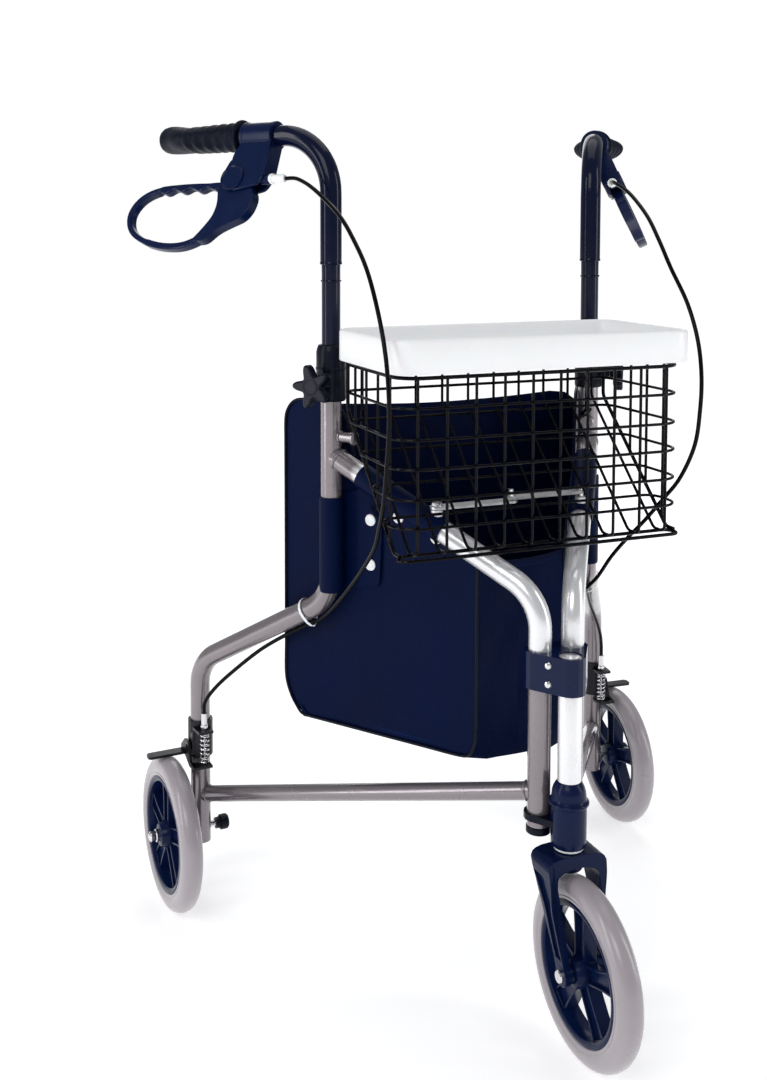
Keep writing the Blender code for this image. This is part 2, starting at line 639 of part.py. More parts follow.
def build_rear_corner(side, tag):
    place = corner_map(side)
    at_axle = lambda x, y, z: place(x, y, z + WHEEL_R)
    spoked_wheel(f"{tag}_rear_wheel", at_axle, 4.4)
    tyre(f"{tag}_rear_tyre", at_axle)
    bolt = [(0.0, -58.0), (4.0, -58.0), (4.0, 17.4), (8.0, 17.4), (8.0, 21.0), (6.5, 22.0),
            (6.5, 28.0), (4.0, 30.0), (0.0, 30.0)]
    axle = lathe(bolt, at_axle, "x", (0.0, 0.0, 0.0), 12)
    make_object(f"{tag}_rear_axle", outward(axle), "chrome")
    knob = [(0.0, -75.0), (8.0, -75.0), (9.5, -73.0), (9.5, -65.0), (7.0, -63.0), (7.0, -58.4),
            (0.0, -58.4)]
    make_object(f"{tag}_axle_knob", outward(lathe(knob, at_axle, "x", segments=16)), "black")

    # bracket clamped on the leg
    leg = (LEG_X, LEG_Y, 0.0)
    bracket = make_object(f"{tag}_brake_bracket",
                          outward(rod(15.8, 192.0, 238.0, place, origin=leg)), "black")
    flange = [(-46.0, -31.5), (-27.0, -31.5), (-25.6, -8.5), (-47.0, -8.5)]
    cheek = [(-12.2, 196.0), (6.4, 196.0), (6.4, 212.0), (-12.2, 226.3)]
    shapes = [plate(flange, 228.0, 231.5, place),
              plate(cheek, -27.5, -24.4, place, (1, 2, 0)),
              rod(3.0, -26.0, -18.6, place, "x", (0.0, ARM_PIVOT_Y, ARM_PIVOT_Z), 12)]
    cut_or_join(bracket, [outward(s) for s in shapes], "UNION")
    leg_clear = rod(12.8, 180.0, 250.0, place, origin=leg)
    wire_hole = rod(3.0, 220.0, 240.0, place, origin=(SPRING_X, SPRING_Y, 0.0), segments=12)
    cut_or_join(bracket, [outward(leg_clear), outward(wire_hole)], "DIFFERENCE")

    # arm: web beside the tyre, tongue under the spring, bar over the tyre
    web = [(-30.5, 183.0), (-12.5, 183.0), (4.0, 191.5), (20.0, 191.5), (20.0, 200.0), (6.0, 212.0),
           (-8.0, 212.0), (-16.0, 190.0), (-30.5, 187.0)]
    arm = make_object(f"{tag}_brake_arm",
                      outward(plate(web, -22.8, -19.6, place, (1, 2, 0))), "chrome")
    bar = plate([(-21.0, 6.0), (24.0, 6.0), (27.0, 9.0), (27.0, 17.0), (24.0, 20.5),
                 (-21.0, 20.5)], 191.5, 195.0, place)
    tongue = plate([(-45.0, -31.0), (-21.0, -31.0), (-21.0, -14.0), (-45.0, -14.0)], 183.4, 186.6,
                   place)
    cut_or_join(arm, [outward(bar), outward(tongue)], "UNION")
    holes = [rod(3.3, -30.0, -15.0, place, "x", (0.0, ARM_PIVOT_Y, ARM_PIVOT_Z), 12),
             rod(3.2, 175.0, 190.0, place, origin=(SPRING_X, SPRING_Y, 0.0), segments=12)]
    cut_or_join(arm, [outward(s) for s in holes], "DIFFERENCE")

    turns, steps = 6, 7
    coil = []
    for k in range(turns * steps + 1):
        angle = 2.0 * math.pi * k / steps
        rise = 188.4 + (226.4 - 188.4) * k / (turns * steps)
        coil.append(Vector((SPRING_X + 5.4 * math.cos(angle), SPRING_Y + 5.4 * math.sin(angle), rise)))
    make_object(f"{tag}_brake_spring",
                outward(sweep(coil, place, 0.9, 4, hint=(0.0, 0.0, 1.0))), "chrome")
    ferrule = [(0.0, 181.0), (0.9, 181.0), (0.9, 231.9), (4.6, 231.9), (4.6, 237.0), (3.8, 238.0),
               (3.8, 252.0), (0.0, 252.0)]
    make_object(f"{tag}_cable_ferrule",
                outward(lathe(ferrule, place, origin=(SPRING_X, SPRING_Y, 0.0), segments=10)), "chrome")


# ---- folding link -------------------------------------------------------------
LINK_T = 127.0
LINK_LEVELS = {-1: (553.5, 556.5), 1: (557.5, 560.5)}


def link_pivot():
    return (HINGE_X + math.sin(HALF_ANGLE) * LINK_T, HINGE_Y + math.cos(HALF_ANGLE) * LINK_T)


def build_link(side, tag):
    place = world_map()
    low, high = LINK_LEVELS[side]
    px, py = link_pivot()
    outline = [(side * x, py + y) for x, y in
               [(a - px, b) for a, b in circle_hull([(px, 0.0, 8.0), (2.0 * px, 0.0, 8.0)])]]
    arm = make_object(f"{tag}_link_arm", outward(plate(outline, low, high, place)), "silver")
    holes = [rod(3.3, low - 5, high + 5, place, origin=(side * px, py, 0.0), segments=12),
             rod(3.3, low - 5, high + 5, place, origin=(0.0, py, 0.0), segments=12)]
    cut_or_join(arm, [outward(s) for s in holes], "DIFFERENCE")
    bolt = [(0.0, 551.3), (3.0, 551.3), (3.0, high + 0.4), (6.0, high + 0.4), (6.0, high + 3.6),
            (4.5, high + 4.4), (0.0, high + 4.4)]
    make_object(f"{tag}_link_bolt",
                outward(lathe(bolt, place, origin=(side * px, py, 0.0), segments=12)), "chrome")


def build_link_centre():
    _, high = LINK_LEVELS[1]
    low, _ = LINK_LEVELS[1]
    _, py = link_pivot()
    bolt = [(0.0, low - 0.4), (3.0, low - 0.4), (3.0, high + 0.4), (6.0, high + 0.4),
            (6.0, high + 3.4), (3.5, high + 3.4), (3.5, high + 8.0), (0.0, high + 8.0)]
    make_object("link_centre_bolt", outward(lathe(bolt, world_map(), origin=(0.0, py, 0.0),
                                                  segments=12)), "chrome")


# ---- basket, tray and bag ------------------------------------------------------
BASKET_HALF_W, BASKET_FRONT, BASKET_BACK = 176.0, -139.0, 27.0
BASKET_LEVELS = ((519.0, -113.0, 8.0), (530.0, -103.0, 3.0), (655.0, 27.0, 0.0), (716.0, 27.0, 0.0))


def build_basket():
    def ring(z, back, inset, wall):
        outline = rounded_box_outline(-BASKET_HALF_W + inset + wall, BASKET_HALF_W - inset - wall,
                                      BASKET_FRONT + inset + wall, back - wall,
                                      min(18.0, (back - BASKET_FRONT - inset) / 2 - wall - 1.0))
        return [Vector((x, y, z)) for x, y in outline]

    outer = [ring(z, back, inset, 0.0) for z, back, inset in BASKET_LEVELS]
    inner_levels = [(521.5, -113.0 + 1.0, 8.0)] + list(BASKET_LEVELS[1:])
    inner = [ring(z, back, inset, 2.5) for z, back, inset in inner_levels]
    make_object("basket", outward(shell(outer, inner)), "black")


TRAY = (716.4, 752.0)


def build_tray():
    def ring(half_w, y0, y1, radius, z):
        return [Vector((x, y, z)) for x, y in rounded_box_outline(-half_w, half_w, y0, y1, radius)]

    low, high = TRAY
    outer = [ring(176.0, -139.0, 27.0, 22.0, low), ring(181.0, -144.0, 32.0, 26.0, low + 5.0),
             ring(183.0, -146.0, 34.0, 27.0, high - 3.0), ring(182.0, -145.0, 33.0, 26.0, high)]
    inner = [ring(173.0, -136.0, 24.0, 20.0, low + 12.0), ring(177.0, -140.0, 28.0, 23.0, low + 17.0),
             ring(179.5, -142.5, 30.5, 24.0, high - 3.0), ring(180.5, -143.5, 31.5, 25.0, high)]
    make_object("tray", outward(shell(outer, inner)), "white")


BAG_BOTTOM, BAG_WALL = 268.0, 2.5
BAG_N = -16.5              # side panels lie just inside the tubes
BAG_T0, BAG_T1 = 84.0, 348.0


def bag_outline(inset):
    """Plan corners going round, right rear first, with the stations along the sides."""
    stations = [(BAG_T1 - inset, 648.0), (BAG_T1 - 14.0, 660.0), (292.0, 660.0), (250.0, 640.0),
                (236.0, 560.0), (180.0, 536.0), (130.0, 517.0), (BAG_T0 + inset + 8.0, 505.0),
                (BAG_T0 + inset, 500.0)]
    points = []
    for side, row in ((-1, stations), (1, list(reversed(stations)))):
        for t, top in row:
            p = frame_point(side, t, BAG_N - inset, 0.0)
            points.append((p.x, p.y, top))
    return points


def build_bag():
    outer_plan, inner_plan = bag_outline(0.0), bag_outline(BAG_WALL)

    def ring(plan, f, base):
        return [Vector((x, y, base + (top - base) * f)) for x, y, top in plan]

    outer = [ring(outer_plan, 0.0, BAG_BOTTOM), ring(outer_plan, 0.5, BAG_BOTTOM),
             ring(outer_plan, 1.0, BAG_BOTTOM)]
    inner = [ring(inner_plan, 0.0, BAG_BOTTOM + BAG_WALL), ring(inner_plan, 0.5, BAG_BOTTOM),
             ring(inner_plan, 1.0, BAG_BOTTOM)]
    make_object("shopping_bag", outward(shell(outer, inner)), "vinyl")


def main():
    clear_scene()
    collection = bpy.data.collections.new(COLLECTION)
    bpy.context.scene.collection.children.link(collection)
    build_centre()
    for side, tag in ((-1, "right"), (1, "left")):
        build_frame(side, tag)
        build_handle(side, tag)
        build_lever(side, tag)
        build_cable(side, tag)
        build_rear_corner(side, tag)
        build_link(side, tag)
    build_link_centre()
    build_basket()
    build_tray()
    build_bag()
    for obj in collection.objects:
        obj.data.transform(Matrix.Scale(MM, 4))


main()
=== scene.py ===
import math

import bpy
from bpy.props import FloatProperty, FloatVectorProperty, IntProperty, PointerProperty
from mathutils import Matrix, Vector


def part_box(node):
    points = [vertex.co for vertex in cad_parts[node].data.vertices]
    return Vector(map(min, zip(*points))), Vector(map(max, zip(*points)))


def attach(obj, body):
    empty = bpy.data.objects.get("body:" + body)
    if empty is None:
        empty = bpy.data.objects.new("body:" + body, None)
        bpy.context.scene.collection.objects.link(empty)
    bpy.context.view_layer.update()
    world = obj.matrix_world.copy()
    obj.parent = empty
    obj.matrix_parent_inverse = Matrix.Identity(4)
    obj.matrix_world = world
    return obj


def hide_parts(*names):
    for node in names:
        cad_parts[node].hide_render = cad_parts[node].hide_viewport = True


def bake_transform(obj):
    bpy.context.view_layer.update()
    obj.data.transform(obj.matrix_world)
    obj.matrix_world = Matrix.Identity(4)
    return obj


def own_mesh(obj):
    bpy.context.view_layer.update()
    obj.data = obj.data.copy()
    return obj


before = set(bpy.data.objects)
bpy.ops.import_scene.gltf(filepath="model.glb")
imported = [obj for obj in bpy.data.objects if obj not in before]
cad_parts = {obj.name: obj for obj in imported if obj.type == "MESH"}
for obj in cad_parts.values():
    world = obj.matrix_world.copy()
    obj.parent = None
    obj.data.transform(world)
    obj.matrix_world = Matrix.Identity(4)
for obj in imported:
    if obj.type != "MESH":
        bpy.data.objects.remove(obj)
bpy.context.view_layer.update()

bl_info = {
    "name": "Three-wheeled walker",
    "version": (1, 0, 0),
    "blender": (4, 5, 0),
    "location": "View3D > Sidebar > Walker",
    "description": "Builds the finished look of a folding three-wheeled walker on its fixed frame",
    "category": "Object",
}

FOLD_SIN, FOLD_COS = math.sin(math.radians(35)), math.cos(math.radians(35))
LEAN_SIN, LEAN_COS = math.sin(math.radians(25)), math.cos(math.radians(25))
TOE_SIN, TOE_COS = math.sin(math.radians(4)), math.cos(math.radians(4))
POST, GRIP_HEIGHT = 270, 975            # t of the upright posts, height of the grips
KNOB_HEIGHT, STUD_HEIGHT = 684, 622     # star knobs and basket hanger studs
BAG_FRONT, BAG_REAR, BAG_SIDE = 84, 348, -16.5  # t of the bag's front and rear, n of its side panels


# ---------------------------------------------------------------- places

def mm(x, y, z):
    """Millimetres in the walker's frame."""
    return Vector((x, y, z)) * 0.001


def side_point(t, n, z, side=-1):
    """t back along one folding side, n outward from it, z up, in millimetres."""
    return mm(side * (20 + FOLD_SIN * t + FOLD_COS * n), -158 + FOLD_COS * t - FOLD_SIN * n, z)


def lever_point(t, q, p, side=-1):
    """t along the grip, q down the lever's leaning plane, p across it."""
    return side_point(t, q * LEAN_SIN + p * LEAN_COS, GRIP_HEIGHT - q * LEAN_COS + p * LEAN_SIN, side)


def corner_point(x, y, z, side=-1):
    """x outward along the rear axle, y back, z up, from the rear wheel's centre line."""
    return mm(side * (331 + TOE_COS * x + TOE_SIN * y), 227.57 - TOE_SIN * x + TOE_COS * y, z)


# ---------------------------------------------------------------- modelling

def clear_selection():
    if bpy.context.mode != "OBJECT":
        bpy.ops.object.mode_set(mode="OBJECT")
    bpy.ops.object.select_all(action="DESELECT")


def pick(obj):
    clear_selection()
    obj.select_set(True)
    bpy.context.view_layer.objects.active = obj
    return obj


def edit_all(obj):
    pick(obj)
    bpy.ops.object.mode_set(mode="EDIT")
    bpy.ops.mesh.select_mode(type="VERT")
    bpy.ops.mesh.select_all(action="SELECT")


def close_up(obj, name, smooth=38, weld=2e-6, turn=True):
    """Welds the seams, faces the surface outward, places the mesh and smooths it by angle."""
    edit_all(obj)
    bpy.ops.mesh.remove_doubles(threshold=weld)
    if turn:
        bpy.ops.mesh.normals_make_consistent(inside=False)
    bpy.ops.object.mode_set(mode="OBJECT")
    bpy.ops.object.transform_apply(location=True, rotation=True, scale=True)
    obj.name = obj.data.name = name
    bpy.ops.object.shade_smooth_by_angle(angle=math.radians(smooth))
    return obj


def edit_faces(obj, test):
    """Opens a piece for editing with the faces that pass the test selected."""
    pick(obj)
    bpy.ops.object.mode_set(mode="EDIT")
    bpy.ops.mesh.select_mode(type="FACE")
    bpy.ops.mesh.select_all(action="DESELECT")
    bpy.ops.object.mode_set(mode="OBJECT")
    for face in obj.data.polygons:
        face.select = test(face)
    bpy.ops.object.mode_set(mode="EDIT")


def sink(obj, test, margin, depth, even=True):
    """Sinks the faces that pass the test, leaving a margin round them."""
    edit_faces(obj, test)
    bpy.ops.mesh.inset(thickness=margin, use_even_offset=even)
    bpy.ops.mesh.extrude_region_move(TRANSFORM_OT_translate={"value": depth})
    bpy.ops.object.mode_set(mode="OBJECT")


def apply_modifier(obj, kind, **settings):
    pick(obj)
    modifier = obj.modifiers.new(kind.title(), kind)
    for key, value in settings.items():
        setattr(modifier, key, value)
    bpy.ops.object.modifier_apply(modifier=modifier.name)
    return obj


def soften(obj, width, segments=2, angle=30):
    """Bevels the hard edges."""
    return apply_modifier(obj, "BEVEL", width=width * 0.001, segments=segments, limit_method="ANGLE",
                          angle_limit=math.radians(angle), harden_normals=False)


def ring_on(obj, points):
    """Moves a fresh ring's vertices onto the points of an outline."""
    for vertex, point in zip(obj.data.vertices, points):
        vertex.co = point
    return obj


def bent(name, corners, bend, radius, sides=32, steps=8, closed=False):
    """A tube or wire: a ring pushed along each straight run and spun round each bend, sizes in millimetres."""
    clear_selection()
    corners = [Vector(c) for c in corners]
    bends = [b * 0.001 for b in (bend if hasattr(bend, "__len__") else [bend] * (len(corners) - 2))]
    heading = (corners[1] - corners[0]).normalized()
    bpy.ops.mesh.primitive_circle_add(vertices=sides, radius=radius * 0.001, location=corners[0],
                                      rotation=heading.to_track_quat("Z", "Y").to_euler(), fill_type="NOTHING")
    obj = bpy.context.object
    bpy.ops.object.transform_apply(location=True, rotation=True, scale=True)
    edit_all(obj)
    at = corners[0]
    for i in range(1, len(corners) - 1):
        out = (corners[i + 1] - corners[i]).normalized()
        angle = heading.angle(out)
        if angle < 1e-3:
            continue
        reach = bends[i - 1] * math.tan(angle / 2)
        entry = corners[i] - heading * reach
        if (entry - at).length > 1e-6:
            bpy.ops.mesh.extrude_region_move(TRANSFORM_OT_translate={"value": entry - at})
        axis = heading.cross(out).normalized()
        bpy.ops.mesh.spin(steps=max(2, round(steps * angle / 1.5708)), angle=-angle,
                          center=entry + axis.cross(heading) * bends[i - 1], axis=axis)
        at, heading = corners[i] + out * reach, out
    bpy.ops.mesh.extrude_region_move(TRANSFORM_OT_translate={"value": corners[-1] - at})
    if not closed:
        bpy.ops.mesh.select_all(action="DESELECT")
        bpy.ops.mesh.select_non_manifold()
        bpy.ops.mesh.fill_holes(sides=0)
    bpy.ops.object.mode_set(mode="OBJECT")
    return close_up(obj, name)


def turned(name, profile, place, axis, sides=48, smooth=32):
    """A profile of (radius, along) in millimetres spun about a line: it ends on the line or is a closed ring."""
    clear_selection()
    axis = Vector(axis).normalized()
    across = axis.orthogonal().normalized()
    bpy.ops.mesh.primitive_circle_add(vertices=len(profile), fill_type="NOTHING", location=(0, 0, 0))
    obj = ring_on(bpy.context.object, [place + (axis * h + across * r) * 0.001 for r, h in profile])
    if profile[0][0] < 1e-6 and profile[-1][0] < 1e-6:
        bpy.ops.object.mode_set(mode="EDIT")
        bpy.ops.mesh.select_mode(type="EDGE")
        bpy.ops.mesh.select_all(action="DESELECT")
        bpy.ops.object.mode_set(mode="OBJECT")
        for edge in obj.data.edges:
            edge.select = set(edge.vertices) == {0, len(profile) - 1}
        bpy.ops.object.mode_set(mode="EDIT")
        bpy.ops.mesh.delete(type="EDGE")
        bpy.ops.object.mode_set(mode="OBJECT")
    edit_all(obj)
    bpy.ops.mesh.spin(steps=sides, angle=math.tau, center=place, axis=axis)
    bpy.ops.object.mode_set(mode="OBJECT")
    return close_up(obj, name, smooth)


def slab(name, outline, low, high, place, edge=0.8, inner=None, smooth=38):
    """An outline cut from sheet of a given thickness, its rim eased. With an inner outline it is an open loop."""
    clear_selection()
    bpy.ops.mesh.primitive_circle_add(vertices=len(outline), location=(0, 0, 0),
                                      fill_type="NOTHING" if inner else "NGON")
    obj = ring_on(bpy.context.object, [place(u, v, low) for u, v in outline])
    edit_all(obj)
    if inner:
        bpy.ops.mesh.extrude_region_move(TRANSFORM_OT_translate={"value": (0, 0, 0)})
        bpy.ops.object.mode_set(mode="OBJECT")
        for k, (u, v) in enumerate(inner):
            obj.data.vertices[len(outline) + k].co = place(u, v, low)
        edit_all(obj)
    bpy.ops.mesh.extrude_region_move(
        TRANSFORM_OT_translate={"value": place(0, 0, high) - place(0, 0, low)})
    bpy.ops.object.mode_set(mode="OBJECT")
    close_up(obj, name, smooth)
    return close_up(soften(obj, edge), name, smooth) if edge else obj


def drawn(name, points, radius, sides=12, closed=False):
    """A line of points given a round section, for cables, springs and piping."""
    clear_selection()
    bpy.ops.curve.primitive_nurbs_path_add(location=(0, 0, 0))
    obj = bpy.context.object
    obj.data.splines.clear()
    line = obj.data.splines.new("POLY")
    line.points.add(len(points) - 1)
    for spot, point in zip(line.points, points):
        spot.co = (*point, 1)
    line.use_cyclic_u = closed
    obj.data.dimensions = "3D"
    obj.data.bevel_depth = radius * 0.001
    obj.data.bevel_resolution = (sides - 4) // 2
    obj.data.use_fill_caps = not closed
    bpy.ops.object.convert(target="MESH")
    return close_up(bpy.context.object, name)


def joined(name, objects):
    clear_selection()
    for obj in objects:
        obj.select_set(True)
    bpy.context.view_layer.objects.active = objects[0]
    if len(objects) > 1:
        bpy.ops.object.join()
    obj = bpy.context.object
    obj.name = obj.data.name = name
    return obj


def copied(obj, name=None):
    pick(obj)
    bpy.ops.object.duplicate()
    twin = bpy.context.object
    if name:
        twin.name = twin.data.name = name
    return twin


def mirrored(obj, name):
    """The same piece for the left side, with its own mesh."""
    twin = copied(obj, name)
    bpy.ops.transform.resize(value=(-1, 1, 1), center_override=(0, 0, 0))
    bpy.ops.object.transform_apply(location=True, rotation=True, scale=True)
    bpy.ops.object.mode_set(mode="EDIT")
    bpy.ops.mesh.select_all(action="SELECT")
    bpy.ops.mesh.flip_normals()
    bpy.ops.object.mode_set(mode="OBJECT")
    return twin


def rounded(outline, radius, steps=4):
    """The outline with its corners rounded."""
    points, count = [], len(outline)
    for i in range(count):
        a, b, c = (Vector(outline[(i + k) % count]) for k in (-1, 0, 1))
        size = radius[i] if hasattr(radius, "__len__") else radius
        reach = min(size, 0.45 * (a - b).length, 0.45 * (c - b).length)
        p, q = b + (a - b).normalized() * reach, b + (c - b).normalized() * reach
        for k in range(steps + 1):
            f = k / steps
            points.append(tuple(p * (1 - f) ** 2 + b * 2 * f * (1 - f) + q * f * f))
    return points


def smooth_line(points, per=8, closed=False):
    """A smooth curve through the points."""
    pts, out, count = [Vector(p) for p in points], [], len(points)
    for i in range(count if closed else count - 1):
        get = (lambda k: pts[(i + k) % count]) if closed else (lambda k: pts[min(max(i + k, 0), count - 1)])
        a, b, c, d = get(-1), get(0), get(1), get(2)
        for k in range(per):
            f = k / per
            out.append(0.5 * (2 * b + (c - a) * f + (2 * a - 5 * b + 4 * c - d) * f * f
                              + (3 * b - a - 3 * c + d) * f ** 3))
    if not closed:
        out.append(pts[-1])
    return out


def fit_out(obj, finish, body, replaces=()):
    """Gives a piece its finish and ties it to the body it moves with."""
    obj.data.materials.clear()
    obj.data.materials.append(finish)
    for node in replaces:
        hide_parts(node)
    if body:
        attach(obj, body)
    return obj


def pair(obj, part, finish, body, nodes=()):
    """Dresses a right-hand piece and its mirrored left-hand one."""
    for tag, piece in (("left", mirrored(obj, f"left_{part}_piece")), ("right", obj)):
        piece.name = piece.data.name = f"{tag}_{part}_piece"
        fit_out(piece, finish, f"{tag}_{body}", [f"{tag}_{n}" for n in nodes])


# ---------------------------------------------------------------- finishes

class Value:
    """A shader socket that can be used in arithmetic."""

    def __init__(self, finish, socket):
        self.finish, self.socket = finish, socket

    def _maths(self, kind, *parts):
        return self.finish.node("ShaderNodeMath", {"operation": kind}, dict(enumerate(parts)))

    def __add__(self, other):
        return self._maths("ADD", self, other)

    def __sub__(self, other):
        return self._maths("SUBTRACT", self, other)

    def __rsub__(self, other):
        return self._maths("SUBTRACT", other, self)

    def __mul__(self, other):
        return self._maths("MULTIPLY", self, other)

    def __gt__(self, other):
        return self._maths("GREATER_THAN", self, other)

    __radd__, __rmul__ = __add__, __mul__


class Finish:
    """One material, built from its nodes."""

    def __init__(self, name, **constants):
        self.material = bpy.data.materials.new(name)
        self.material.use_nodes = True
        self.tree = self.material.node_tree
        self.shader = next(n for n in self.tree.nodes if n.type == "BSDF_PRINCIPLED")
        for key, value in constants.items():
            self.shader.inputs[key.replace("_", " ")].default_value = value
        self.where = self.node("ShaderNodeTexCoord", out="Object")

    def node(self, kind, settings=None, sockets=None, out=0):
        """Adds a node: its settings first, then the values or links of its sockets."""
        made = self.tree.nodes.new(kind)
        for key, value in (settings or {}).items():
            setattr(made, key, value)
        for key, value in (sockets or {}).items():
            if isinstance(value, Value):
                self.tree.links.new(value.socket, made.inputs[key])
            else:
                made.inputs[key].default_value = value
        return Value(self, made.outputs[out])

    def noise(self, scale, detail=3, rough=0.5, where=None):
        return self.node("ShaderNodeTexNoise", None, {"Vector": where or self.where, "Scale": scale,
                                                      "Detail": detail, "Roughness": rough})

    def cells(self, scale, feature="F1", where=None):
        return self.node("ShaderNodeTexVoronoi", {"feature": feature}, {"Vector": where or self.where, "Scale": scale})

    def stretched(self, x, y, z):
        return self.node("ShaderNodeMapping", None, {"Vector": self.where, "Scale": (x, y, z)})

    def ramp(self, value, low, high, start=0, end=1):
        """Maps low..high to start..end, held at both ends."""
        return self.node("ShaderNodeMapRange", {"clamp": True}, {"Value": value, "From Min": low, "From Max": high,
                                                                 "To Min": start, "To Max": end})

    def blend(self, factor, first, second):
        made = self.tree.nodes.new("ShaderNodeMix")
        made.data_type = "RGBA"
        for index, value in ((0, factor), (6, first), (7, second)):
            if isinstance(value, Value):
                self.tree.links.new(value.socket, made.inputs[index])
            else:
                made.inputs[index].default_value = value if index == 0 else (*value, 1)
        return Value(self, made.outputs[2])

    def bump(self, height, strength, distance, below=None):
        sockets = {"Height": height, "Strength": strength, "Distance": distance}
        if below:
            sockets["Normal"] = below
        return self.node("ShaderNodeBump", None, sockets)

    def wire(self, **sockets):
        for key, value in sockets.items():
            self.tree.links.new(value.socket, self.shader.inputs[key.replace("_", " ")])
        return self.material


def shade(colour, factor):
    return tuple(min(1, c * factor) for c in colour)


def frame_enamel(name, colour, bright=None):
    """Metallic enamel on steel tube with flake, orange peel and scuffs. The upper front tubes may be brighter."""
    f = Finish(name, Metallic=0.55, Coat_Roughness=0.06)
    flake = f.ramp(f.cells(1400), 0.1, 0.6)
    cloud = f.noise(9)
    tone = f.blend(cloud, shade(colour, 0.86), shade(colour, 1.12))
    tone = f.blend(flake * 0.22, tone, shade(colour, 1.7))
    if bright:
        parts = f.tree.nodes.new("ShaderNodeSeparateXYZ")
        f.tree.links.new(f.where.socket, parts.inputs[0])
        y, z = Value(f, parts.outputs[1]), Value(f, parts.outputs[2])
        upper = f.ramp(z, 0.396, 0.402) * f.ramp(y, 0.028, 0.022)
        tone = f.blend(upper, tone, f.blend(cloud, shade(bright, 0.93), bright))
    scuff = f.ramp(f.noise(55, 6, 0.7), 0.66, 0.8)
    tone = f.blend(scuff * 0.08, tone, shade(colour, 0.5))
    rough = f.ramp(f.noise(30), 0.3, 0.7, 0.2, 0.3) + scuff * 0.08
    coat = 0.85 - scuff * 0.2
    return f.wire(Base_Color=tone, Roughness=rough, Coat_Weight=coat,
                  Normal=f.bump(f.noise(420, 1), 0.05, 0.0004))


def gloss_enamel(name, colour, rough=0.16, gloss=0.13):
    """Dark gloss enamel or powder coat, with a soft ripple, dust and small rubs."""
    f = Finish(name, Coat_Roughness=0.04, Specular_IOR_Level=gloss)
    dust = f.ramp(f.noise(70, 5, 0.65), 0.55, 0.8)
    tone = f.blend(f.noise(12), shade(colour, 0.75), shade(colour, 1.3))
    tone = f.blend(dust * 0.006, tone, (0.35, 0.35, 0.38))
    return f.wire(Base_Color=tone, Roughness=dust * 0.2 + f.ramp(f.noise(40), 0.3, 0.7, rough, rough + 0.08),
                  Coat_Weight=gloss - dust * 0.04, Normal=f.bump(f.noise(500, 1), 0.06, 0.0003))


def moulded(name, colour, rough=0.3, grain=0.12):
    """Injection-moulded plastic: fine spark grain, cloudy tone and pale rub marks."""
    f = Finish(name, Coat_Roughness=0.14, Specular_IOR_Level=0.11)
    tone = f.blend(f.noise(16), shade(colour, 0.78), shade(colour, 1.25))
    rub = f.ramp(f.noise(90, 6, 0.72), 0.62, 0.75)
    tone = f.blend(rub * 0.012, tone, (0.2, 0.22, 0.28))
    height = f.cells(1600) * 0.6 + f.noise(700, 2) * 0.4
    return f.wire(Base_Color=tone, Roughness=f.ramp(f.noise(48), 0.3, 0.7, rough - 0.06, rough + 0.08) + rub * 0.12,
                  Coat_Weight=0.07 - rub * 0.04, Normal=f.bump(height, grain, 0.0003))


def white_moulding(name, colour):
    """Milky white moulded plastic with a faint swirl and a satin skin."""
    f = Finish(name, Coat_Roughness=0.25, Subsurface_Weight=0.15, Subsurface_Scale=0.004)
    tone = f.blend(f.noise(7), shade(colour, 0.95), colour)
    mark = f.ramp(f.noise(60, 6, 0.7), 0.63, 0.72)
    tone = f.blend(mark * 0.08, tone, shade(colour, 0.7))
    return f.wire(Base_Color=tone, Roughness=f.ramp(f.noise(30), 0.3, 0.7, 0.28, 0.4) + mark * 0.1,
                  Normal=f.bump(f.noise(380, 2), 0.08, 0.0004))


def bright_steel(name, colour, rough=0.16, brushed=True):
    """Plated steel: fine drawn lines, cloudy gloss and small dark pits."""
    f = Finish(name, Metallic=1)
    lines = f.noise(1, 4, 0.6, f.stretched(900, 900, 40) if brushed else f.stretched(240, 240, 240))
    pit = f.ramp(f.noise(160, 5, 0.7), 0.66, 0.76)
    tone = f.blend(f.noise(20), shade(colour, 0.86), shade(colour, 1.08))
    tone = f.blend(pit * 0.5, tone, shade(colour, 0.35))
    return f.wire(Base_Color=tone, Roughness=f.ramp(lines, 0.3, 0.7, rough - 0.05, rough + 0.08) + pit * 0.25,
                  Normal=f.bump(lines, 0.1, 0.0002))


def tyre_rubber(name, colour):
    """Solid grey tyre: satin polyurethane with fine specks, mould flow and road dust on the tread."""
    f = Finish(name, Coat_Roughness=0.18)
    tone = f.blend(f.noise(11), shade(colour, 0.9), shade(colour, 1.08))
    speck = f.ramp(f.cells(900), 0.05, 0.22, 1, 0)
    tone = f.blend(speck * 0.2, tone, shade(colour, 0.6))
    soil = f.ramp(f.noise(38, 6, 0.7), 0.58, 0.78)
    tone = f.blend(soil * 0.25, tone, (0.2, 0.18, 0.17))
    return f.wire(Base_Color=tone, Roughness=f.ramp(f.noise(26), 0.3, 0.7, 0.26, 0.36) + soil * 0.2,
                  Coat_Weight=0.45 - soil * 0.35, Normal=f.bump(f.noise(260, 4), 0.08, 0.0004))


def grip_skin(name, colour):
    """Soft rubber with a fine pimpled skin, the pimple tips painted lighter as a painted highlight."""
    f = Finish(name, Specular_IOR_Level=0.13)
    tone = f.blend(f.noise(20), shade(colour, 0.8), shade(colour, 1.35))
    pimple_and_highlight = f.ramp(f.cells(620), 0.1, 0.45, 1, 0)
    # The pimple tips are painted lighter: a painted highlight on the raised bumps.
    tone = f.blend(pimple_and_highlight * 0.2, tone, shade(colour, 1.7))
    worn = f.ramp(f.noise(45, 5), 0.5, 0.7)
    return f.wire(Base_Color=tone, Roughness=0.52 - worn * 0.16, Normal=f.bump(pimple_and_highlight, 0.35, 0.0005))


